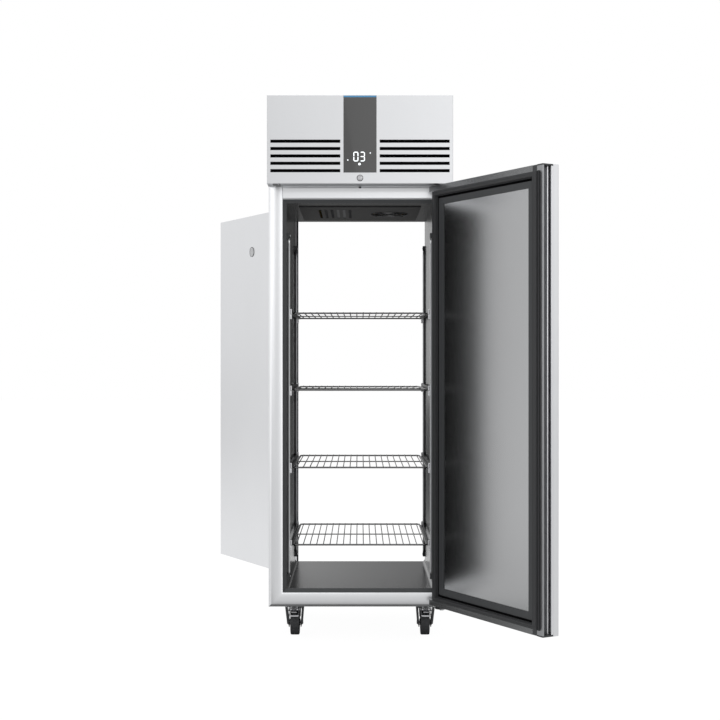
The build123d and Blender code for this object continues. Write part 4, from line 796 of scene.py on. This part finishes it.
def mitred_rows(opening, rim, section, place):
    """A section of (share, depth) at each of the four corners between two rectangles."""
    rows = []
    for x, y in ((0, 1), (2, 1), (2, 3), (0, 3)):
        rows.append([
            place @ Vector((opening[x] + (rim[x] - opening[x]) * share,
                            opening[y] + (rim[y] - opening[y]) * share, depth))
            for share, depth in section
        ])
    return rows


for side in SIDES:
    inside = door_place(side, 0, 0, SKIN_INSIDE)
    for name, section, finish in (
        ("bellows", [*GASKET_SECTION, GASKET_SECTION[0]], "gasket"),
        ("gasket_foot", GASKET_FOOT, "painted_shade_black"),
    ):
        bm = bmesh.new()
        lofted(bm, mitred_rows(GASKET_OPENING, GASKET_RIM, section, inside), around=True)
        seal = mesh_piece(f"{side}_door_{name}", bm, finish, f"{side}_door")
        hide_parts(f"{side}_door_gasket")
print("gasket section of", len(GASKET_SECTION), "points on each door")

# %% Return lips of the door skins
LIP_START = -39
LIP_END = 601.5
LIP_SHEET = 0.5
LIPS = ((154.5, 174.6), (1721.4, 1742.5))

# The lips take a darker copy of the steel, which paints the shade they lie in.
for side in SIDES:
    bm = bmesh.new()
    for low, high in LIPS:
        pressed(bm, oblong(LIP_START, low, LIP_END, high), LIP_SHEET,
                door_place(side, 0, 0, SKIN_INSIDE))
    mesh_piece(f"{side}_door_lips", bm, "shaded_lip_steel", f"{side}_door", bevel=0.2)
print("return lips", len(LIPS), "on each door")

# %% [markdown]
# The pull of a door is a channel down its free edge. The skin ends there in a folded hem, and the
# lip of the channel catches the light as one thin bright bead. The bead is the handle's aluminium,
# but it takes the brighter zinc finish, which paints a highlight on it. Both are long straight
# strips.

# %% Hem and bright bead of the door pull
# Each strip: its section as (n, t) on the door, its finish, its slot and its bevel.
PULL_STRIPS = {
    "pull_hem": (oblong(657.3, 3.8, 659.4, 12.3), "lit_steel", "stainless_sheet", 0.6),
    # Painted highlight: the bead takes the bright zinc finish instead of the handle's aluminium.
    "pull_bead": ([(637.6, 7.4), (637.6, 1.5), (638.9, 1.8), (640.7, 4.2), (640.7, 7.4)],
                  "zinc", "aluminium_profile", 0.3),
}
PULL_LOW = 160
PULL_HIGH = 1737

for side, turn in SIDES.items():
    plan = place_at(*(HINGE * turn + UP * PULL_LOW), UP, DOOR_ALONG * turn)
    for name, (section, finish, slot, soft) in PULL_STRIPS.items():
        bm = bmesh.new()
        pressed(bm, section, PULL_HIGH - PULL_LOW, plan)
        mesh_piece(f"{side}_door_{name}", bm, finish, f"{side}_door", bevel=soft)
print("pull strips", ", ".join(PULL_STRIPS))

# %% [markdown]
# The face frames are pressed steel with a faint crown and a soft outer bend, which is why their
# shine fades across their width. On the real cabinet each one is welded and ground at its lower
# corners, so no joint shows there. The section below is carried down one jamb, along the bottom rail
# and up the other jamb. The top rail is a piece of its own: it sweeps forward under the header and
# is cut back where the door swings past.

# %% Face frames
FRAME_BACK = 341
FRAME_OPENING = (-295, 195.3, 295, 1747)
FRAME_RIM = (-350, 139.5, 350, 1747)
FRAME_DEPTH = 14
FRAME_WIDE = 55
COVE = 25
RAIL_LOW = 1698.4
RAIL_HIGH = 1747
RAIL_HALF = 294.8
BEVEL = 5
SWING = 47
FRAME_CROWN = [
    (0, 0), (0, 9.5), (0.5, 11), (2, 12), (4.5, 12.8), (8, 13.4), (12, 13.8), (16, 14),
    (20.5, 13.8), (25, 13.3), (29.5, 12.5), (34, 11.3), (38.5, 9.7), (43, 7.7), (47, 5.6),
    (51, 3.1), (55, 0),
]


def rail_end(depth, height):
    """How far the top rail runs at one depth, before the door's swing cuts it off."""
    reach = SWING ** 2 - (-HINGE.y - FRAME_BACK - depth) ** 2
    cut = HINGE.x - sqrt(reach) if reach > 0 and height > RAIL_LOW + COVE else RAIL_HALF
    return min(RAIL_HALF, cut)


for side, turn in SIDES.items():
    face = place_at(0, -FRAME_BACK * turn, 0, (0, -turn, 0), (turn, 0, 0))
    bm = bmesh.new()
    section = [(offset / FRAME_WIDE, depth) for offset, depth in FRAME_CROWN]
    left_low, right_low, right_high, left_high = mitred_rows(FRAME_OPENING, FRAME_RIM, section,
                                                             face)
    lofted(bm, [left_high, left_low, right_low, right_high])
    sweep = arc(FRAME_DEPTH + COVE, RAIL_HIGH - COVE, COVE, 180, 90, 10)
    rail = [(0, RAIL_LOW), (FRAME_DEPTH - BEVEL, RAIL_LOW), (FRAME_DEPTH, RAIL_LOW + BEVEL),
            *sweep, (0, RAIL_HIGH)]
    ends = [[face @ Vector((-RAIL_HALF, height, depth)) for depth, height in rail],
            [face @ Vector((rail_end(depth, height), height, depth)) for depth, height in rail]]
    lofted(bm, ends)
    frame_piece = mesh_piece(f"{side}_face_frame", bm, "lit_steel", "cabinet")
    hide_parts(f"{side}_frame")
print("face frames", FRAME_WIDE, "mm wide")

# %% [markdown]
# The castors are swivel castors with a stamped fork. Everything round on them, the wheel, the ball
# races and the nuts, is turned from a profile. The legs are flat outlines that lean in towards the
# wheel, which the shift of the pressed helper does, and a small bevel takes the hard edge off.

# %% Castor wheels
CASTORS = {"fl": (-256, -215), "fr": (256, -215), "rl": (-268, 215), "rr": (268, 215)}
TRAIL = 35
AXLE_HIGH = 50
TYRE = [
    (38, -15.2), (43, -17), (46.8, -17.5), (49, -16.2), (50, -13), (50, 13), (49, 16.2),
    (46.8, 17.5), (43, 17), (38, 15.2),
]
CORE = [
    (38.4, -15), (36.6, -15.2), (35.4, -14), (34, -9.6), (18, -9.2), (15.4, -10.6), (13.4, -14),
    (12.6, -20.4), (11.8, -21), (6, -21), (6, 21), (11.8, 21), (12.6, 20.4), (13.4, 14),
    (15.4, 10.6), (18, 9.2), (34, 9.6), (35.4, 14), (36.6, 15.2), (38.4, 15),
]


def castor_axle(name):
    """Axes on a castor's axle, seen from the side, and the sign of Y towards the middle."""
    x, y = CASTORS[name]
    inward = 1 if y < 0 else -1
    return from_side(x, y + inward * TRAIL, AXLE_HIGH), inward


for name in CASTORS:
    axle, inward = castor_axle(name)
    body = f"castor_wheel_{name}"
    bm = bmesh.new()
    turned(bm, TYRE, axle, 72)
    tyre = mesh_piece(f"castor_tyre_{name}", bm, "tread", body)
    bm = bmesh.new()
    turned(bm, CORE, axle, 72)
    core = mesh_piece(f"castor_core_{name}", bm, "wheel_core", body)
    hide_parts(body)
    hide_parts(body)
print("wheels", len(CASTORS))

# %% Castor forks and races
CROWN_HIGH = 118
CROWN = [
    (7, 118), (33.2, 118), (34.4, 118.7), (34.5, 120), (33.8, 120.9), (28.2, 121.1), (27, 121.8),
    (26, 126.4), (24.9, 127.6), (7, 127.6), (7, 118),
]
UPPER_RACE = [(30.3, 135.4), (30.3, 133.4), (29.7, 131), (28.6, 128.7), (27.4, 128), (20, 128)]
LEG_INSIDE = 22
LEG_THICK = 3
LEG_LEAN = 6.5
BOSS = [(13.5, 24.9), (13.5, 25.6), (11.5, 27.2), (10.4, 28), (0, 28)]
AXLE = [(4.8, -24), (4.8, 24)]
NUT = arc(0, 0, 9, 0, 360, 6)[:-1]
NUT_SEAT = 28
NUT_THICK = 3.4
BRAKED = ("fl", "fr")
PIVOT_AHEAD = 30
PIVOT_HIGH = 110
EAR_INSIDE = 19.4


def rolled_lip(bm, leg, inward, hand):
    """A lip that is rolled outwards along the front edge of a leg."""
    rows = []
    for u, v in ((-52, CROWN_HIGH - AXLE_HIGH), (-19, -6)):
        lean = hand * (LEG_THICK + LEG_LEAN * max(0, v) / (CROWN_HIGH - AXLE_HIGH))
        section = [(-0.6, 0), (2, 0), *arc(2, 4, 4, -90, 0, 6), (6, 5.5), (3.4, 5.5), (2.4, 3),
                   (-0.6, 3)]
        rows.append([leg @ Vector((inward * (u + into), v, lean + hand * out))
                     for out, into in section])
    lofted(bm, [[*row, row[0]] for row in rows])


def leg_outline(inward):
    """A leg from the crown down to the round boss at the axle."""
    rise = CROWN_HIGH - AXLE_HIGH
    points = [(-52, rise), *arc(0, 0, 20, 203.9, 391.3, 18), (-18, rise)]
    return [(inward * x, y) for x, y in points]


for name, (x, y) in CASTORS.items():
    axle, inward = castor_axle(name)
    bm = bmesh.new()
    turned(bm, CROWN, place_at(x, y, 0), 64)
    turned(bm, AXLE, axle, 24)
    for hand in (-1, 1):
        side = axle @ Matrix.Translation((0, 0, hand * LEG_INSIDE))
        pressed(bm, leg_outline(inward), hand * LEG_THICK, side,
                lambda u, v: hand * LEG_LEAN * max(0, v) / (CROWN_HIGH - AXLE_HIGH))
        rolled_lip(bm, side, inward, hand)
        outwards = axle @ Matrix.Rotation(pi * (hand < 0), 4, "X")
        turned(bm, BOSS, outwards, 40)
        pressed(bm, NUT, NUT_THICK, outwards @ Matrix.Translation((0, 0, NUT_SEAT)))
        turned(bm, [(5, 31), (5, 31.8), (4.4, 32), (0, 32)], outwards, 24)
        if name in BRAKED:
            ear = [(y - 20, CROWN_HIGH), *arc(y - PIVOT_AHEAD, PIVOT_HIGH, 6.5, 0, -180, 10),
                   (y - 37, CROWN_HIGH)]
            pressed(bm, ear, hand * LEG_THICK, from_side(x + hand * EAR_INSIDE))
            turned(bm, [(4.6, 0), (4.6, 1), (3.4, 2.6), (0, 3.2)],
                   place_at(x + hand * 11, y - 33.4, 119.6, FORWARD), 20)
    fork = mesh_piece(f"fork_{name}", bm, "shaded_fork_zinc", f"castor_fork_{name}",
                      bevel=0.5)
    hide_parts(f"castor_fork_{name}")
    bm = bmesh.new()
    turned(bm, UPPER_RACE, place_at(x, y, 0), 64)
    mesh_piece(f"castor_race_{name}", bm, "shaded_fork_zinc", "cabinet")
print("forks and races", len(CASTORS))

# %% [markdown]
# The two front castors have a foot brake. A pressed pedal on two arms swings on a pin in front of
# the fork, and the tongue between them bears on the wheel. It is bright zinc with a ribbed pedal,
# and it rides on its own body, because it tips when it is pressed.

# %% Foot brakes
PEDAL_AHEAD = 66
PEDAL_HALF = 18.5
ARM_THICK = 3
PEDAL_Z = 89
TONGUE_HALF = 10
RIBS = 5
RIB_START = -12.4
RIB_PITCH = 5.4
RIB_WIDE = 2.6
PIN = [(0, -22.4), (2.9, -22.4), (2.9, -15.6), (4, -15.4), (4, 15.4), (2.9, 15.6), (2.9, 22.4),
       (0, 22.4)]

for name in BRAKED:
    x, y = CASTORS[name]
    pivot = y - PIVOT_AHEAD
    front = y - PEDAL_AHEAD
    bm = bmesh.new()
    arm = [*arc(pivot, PIVOT_HIGH, 5.2, -80, 90, 8), (pivot - 4, PIVOT_HIGH + 5),
           (front, PEDAL_Z + 5.4), *arc(front + 2.6, PEDAL_Z + 2.6, 2.6, 170, 260, 4),
           (front + 7, PEDAL_Z)]
    for hand in (-1, 1):
        inner = PEDAL_HALF - ARM_THICK
        pressed(bm, arm, hand * ARM_THICK, from_side(x + hand * inner))
    middle = from_side(x)
    tongue = [(front + 0.6, 103.6), (front, 104.6), (front, 107), (front + 1.2, 108),
              (pivot - 6, 114.6), (pivot - 5, 113.6), (pivot - 5, 110.4), (pivot - 6, 110)]
    pressed(bm, tongue, 2 * TONGUE_HALF, middle @ Matrix.Translation((0, 0, -TONGUE_HALF)))
    for low_y, low_z in ((front, PEDAL_Z), (pivot - 10, PIVOT_HIGH)):
        bar = oblong(low_y, low_z, low_y + 5, low_z + 5)
        pressed(bm, bar, 2 * inner, middle @ Matrix.Translation((0, 0, -inner)))
    for rib in range(RIBS):
        start = RIB_START + rib * RIB_PITCH
        ridge = oblong(front - 0.1, PEDAL_Z + 0.6, front + 1, PEDAL_Z + 4.4)
        pressed(bm, ridge, RIB_WIDE, middle @ Matrix.Translation((0, 0, start)))
    turned(bm, PIN, from_side(x, pivot, PIVOT_HIGH), 28)
    pedal = mesh_piece(f"brake_{name}", bm, "zinc", f"castor_brake_{name}", bevel=0.4)
    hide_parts(f"castor_brake_{name}")
print("brakes", len(BRAKED))

# %% [markdown]
# The controls are a strip of smoked glass, flush with the steel, with a blue line along its top
# edge. The temperature shows in seven-segment digits. Each segment is a flat bar with pointed ends,
# a hair proud of the glass, with a white glow, and the dots beside them are turned discs.

# %% Control panel
GLASS_FRONT = -438.6
SEGMENT_HALF = 1.9
DIGIT_WIDE = 15.5
DIGIT_HIGH = 33
LIT = {"0": "abcdef", "3": "abcdg"}
FIGURES = (("0", -23.2), ("3", 1.2))
FIGURES_LOW = 1832
DOTS = ((-2, 1820.4, 4.6), (-45.8, 1835.6, 2.4), (38.8, 1862, 2.4))
LINE_HIGH = 6.5
LINE_INSET = 0.3
PROUD = 0.25


def segment(x, y, long, upright):
    """A flat bar with pointed ends, centred on a point of the panel."""
    half = long / 2
    bar = [(-half, 0), (-half + SEGMENT_HALF, -SEGMENT_HALF), (half - SEGMENT_HALF, -SEGMENT_HALF),
           (half, 0), (half - SEGMENT_HALF, SEGMENT_HALF), (-half + SEGMENT_HALF, SEGMENT_HALF)]
    return [(x + v, y + u) if upright else (x + u, y + v) for u, v in bar]


def digit_bars(figure, x, y):
    """The lit segments of one figure, whose lower left corner is at x, y."""
    wide, high = DIGIT_WIDE, DIGIT_HIGH / 2
    bars = {
        "a": (x + wide / 2, y + 2 * high, wide - 1, False),
        "b": (x + wide, y + 1.5 * high, high - 1, True),
        "c": (x + wide, y + high / 2, high - 1, True),
        "d": (x + wide / 2, y, wide - 1, False),
        "e": (x, y + high / 2, high - 1, True),
        "f": (x, y + 1.5 * high, high - 1, True),
        "g": (x + wide / 2, y + high, wide - 1, False),
    }
    return [segment(*bars[letter]) for letter in LIT[figure]]


glass = place_at(0, GLASS_FRONT, 0, FORWARD)
bm = bmesh.new()
for figure, x in FIGURES:
    for bar in digit_bars(figure, x, FIGURES_LOW):
        pressed(bm, bar, PROUD, glass)
for x, z, radius in DOTS:
    turned(bm, [(radius, 0), (radius, PROUD), (0, PROUD)],
           place_at(x, GLASS_FRONT, z, FORWARD), 24)
mesh_piece("temperature_figures", bm, "display_light", "cabinet")

bm = bmesh.new()
low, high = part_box("control_panel")
edge = high[0] / MM - LINE_INSET
top = high[2] / MM - LINE_INSET
pressed(bm, oblong(-edge, top - LINE_HIGH, edge, top), PROUD, glass)
mesh_piece("accent_line", bm, "accent_blue", "cabinet", bevel=0.1)
print("figures 03, accent line", round(2 * edge, 1), "mm long")

# %% [markdown]
# Small hardware makes sheet metal look real: a polished ring round the key lock, pan-head screws
# in the hinge plate, the blanking plate and the clips of the uprights, and a wire guard over the
# fan in the ceiling. The screw is one turned profile with a socket, used wherever a screw sits.

# %% Lock ring and screws
SCREW = [(0, 0.9), (1.7, 0.9), (1.7, 2.2), (2.6, 2.1), (3.8, 1.5), (4.4, 0.7), (4.5, 0)]


def add_screws(name, spots, body):
    """Pan-head screws; a spot is (x, y, z, direction that the head faces)."""
    bm = bmesh.new()
    for x, y, z, axis in spots:
        turned(bm, SCREW, place_at(x, y, z, axis), 24)
    return mesh_piece(name, bm, "zinc", body)


LOCK_HIGH = 1768
LOCK_FRONT = -438.1
bm = bmesh.new()
lock_face = place_at(0, LOCK_FRONT, LOCK_HIGH, FORWARD)
turned(bm, [(7.4, 1.7), (7.8, 2.3), (8.6, 2.5), (9.6, 2.2), (10, 1.6)], lock_face, 48)
turned(bm, [(3.6, 1.75), (5.6, 1.9), (6.2, 1.7)], lock_face, 40)
mesh_piece("lock_ring", bm, "zinc", "lock_barrel")
# The grooves round the lock ring and the key slot are flat near-black pieces: painted shade in the
# recesses.
bm = bmesh.new()
for near, far in ((6.2, 7.5), (9.9, 11.9)):
    turned(bm, [(near, 1.62), (far, 1.66), (far, 0.1)], lock_face, 48)
pressed(bm, oblong(-1.3, -4.2, 1.3, 4.2), 0.5, lock_face @ Matrix.Translation((0, 0, 1.6)))
mesh_piece("lock_groove_shade", bm, "painted_shade_black", "lock_barrel")

HEADER_LOW = 1747
# Under the header at the front: each screw's x, its y and how far its seat lies below the header
PLATE_SCREWS = ((-307, -421, 0.6), (-323, -371, 0.6), (303.5, -370, 1.4), (328.5, -370, 1.4))
CLIP_X = 270
CLIP_LEVELS = (249, 1564)
spots = []
for turn in SIDES.values():
    spots += [(turn * x, turn * y, HEADER_LOW - depth, -UP) for x, y, depth in PLATE_SCREWS]
for hand in (-1, 1):
    for y in UPRIGHT_Y:
        spots += [(hand * CLIP_X, y, z, (-hand, 0, 0)) for z in CLIP_LEVELS]
add_screws("pan_head_screws", spots, "cabinet")
print("screws", len(spots))

# %% Fan guard
FAN_X = 120
GUARD_Z = 1678.6
GUARD_RADII = (20, 34, 48, 62, 76)
SPOKE_ANGLES = (45, 135, 225, 315)
guard = []
for radius in GUARD_RADII:
    circle = arc(0, 0, radius, 0, 360, 48)[:-1]
    guard.append(([(FAN_X + x, y, GUARD_Z) for x, y in circle], 1.0, True))
for angle in SPOKE_ANGLES:
    reach = Vector((cos(radians(angle)), sin(radians(angle)), 0))
    start = Vector((FAN_X, 0, GUARD_Z - 1.6))
    spoke = [start + reach * 18, start + reach * 78, start + reach * 82 + UP * 2.6]
    guard.append((spoke, 1.2, False))
wire_piece("fan_guard", guard, "shaded_shelf_chrome", "cabinet")
print("guard rings", len(GUARD_RADII), "spokes", len(SPOKE_ANGLES))

# %% Power inlet pins
PINS = ((273, 327), (287, 327), (280, 333))
PIN_LOW = 2066
PIN_LONG = 11

bm = bmesh.new()
for x, y in PINS:
    pressed(bm, oblong(x - 1, y - 2, x + 1, y + 2), PIN_LONG, place_at(0, 0, PIN_LOW))
mesh_piece("inlet_pins", bm, "zinc", "cabinet", bevel=0.3)
print("inlet pins", len(PINS))

# %% [markdown]
# The rear door carries a round plate on its outside, left plain. It is a shallow turned disc, with
# a narrow dark rim that reads as a ring from a distance.

# %% Plate on the rear door
PLATE_ALONG = 307
PLATE_HIGH = 1578
PLATE_RADIUS = 22.7

disc = door_place("rear", PLATE_ALONG, PLATE_HIGH, SKIN_OUTSIDE, outwards=True)
bm = bmesh.new()
turned(bm, [(0, 0.9), (17, 0.95), (20.8, 1.2)], disc, 64)
mesh_piece("door_plate", bm, "badge", "rear_door")
bm = bmesh.new()
turned(bm, [(20.6, 1.1), (20.7, 1.6), (21.2, 1.8), (22.2, 1.7), (PLATE_RADIUS, 1.2),
            (PLATE_RADIUS, 0)], disc, 64)
rim = mesh_piece("door_plate_rim", bm, "dark_trim", "rear_door")
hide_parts("rear_door_badge")
print("plate radius", PLATE_RADIUS)
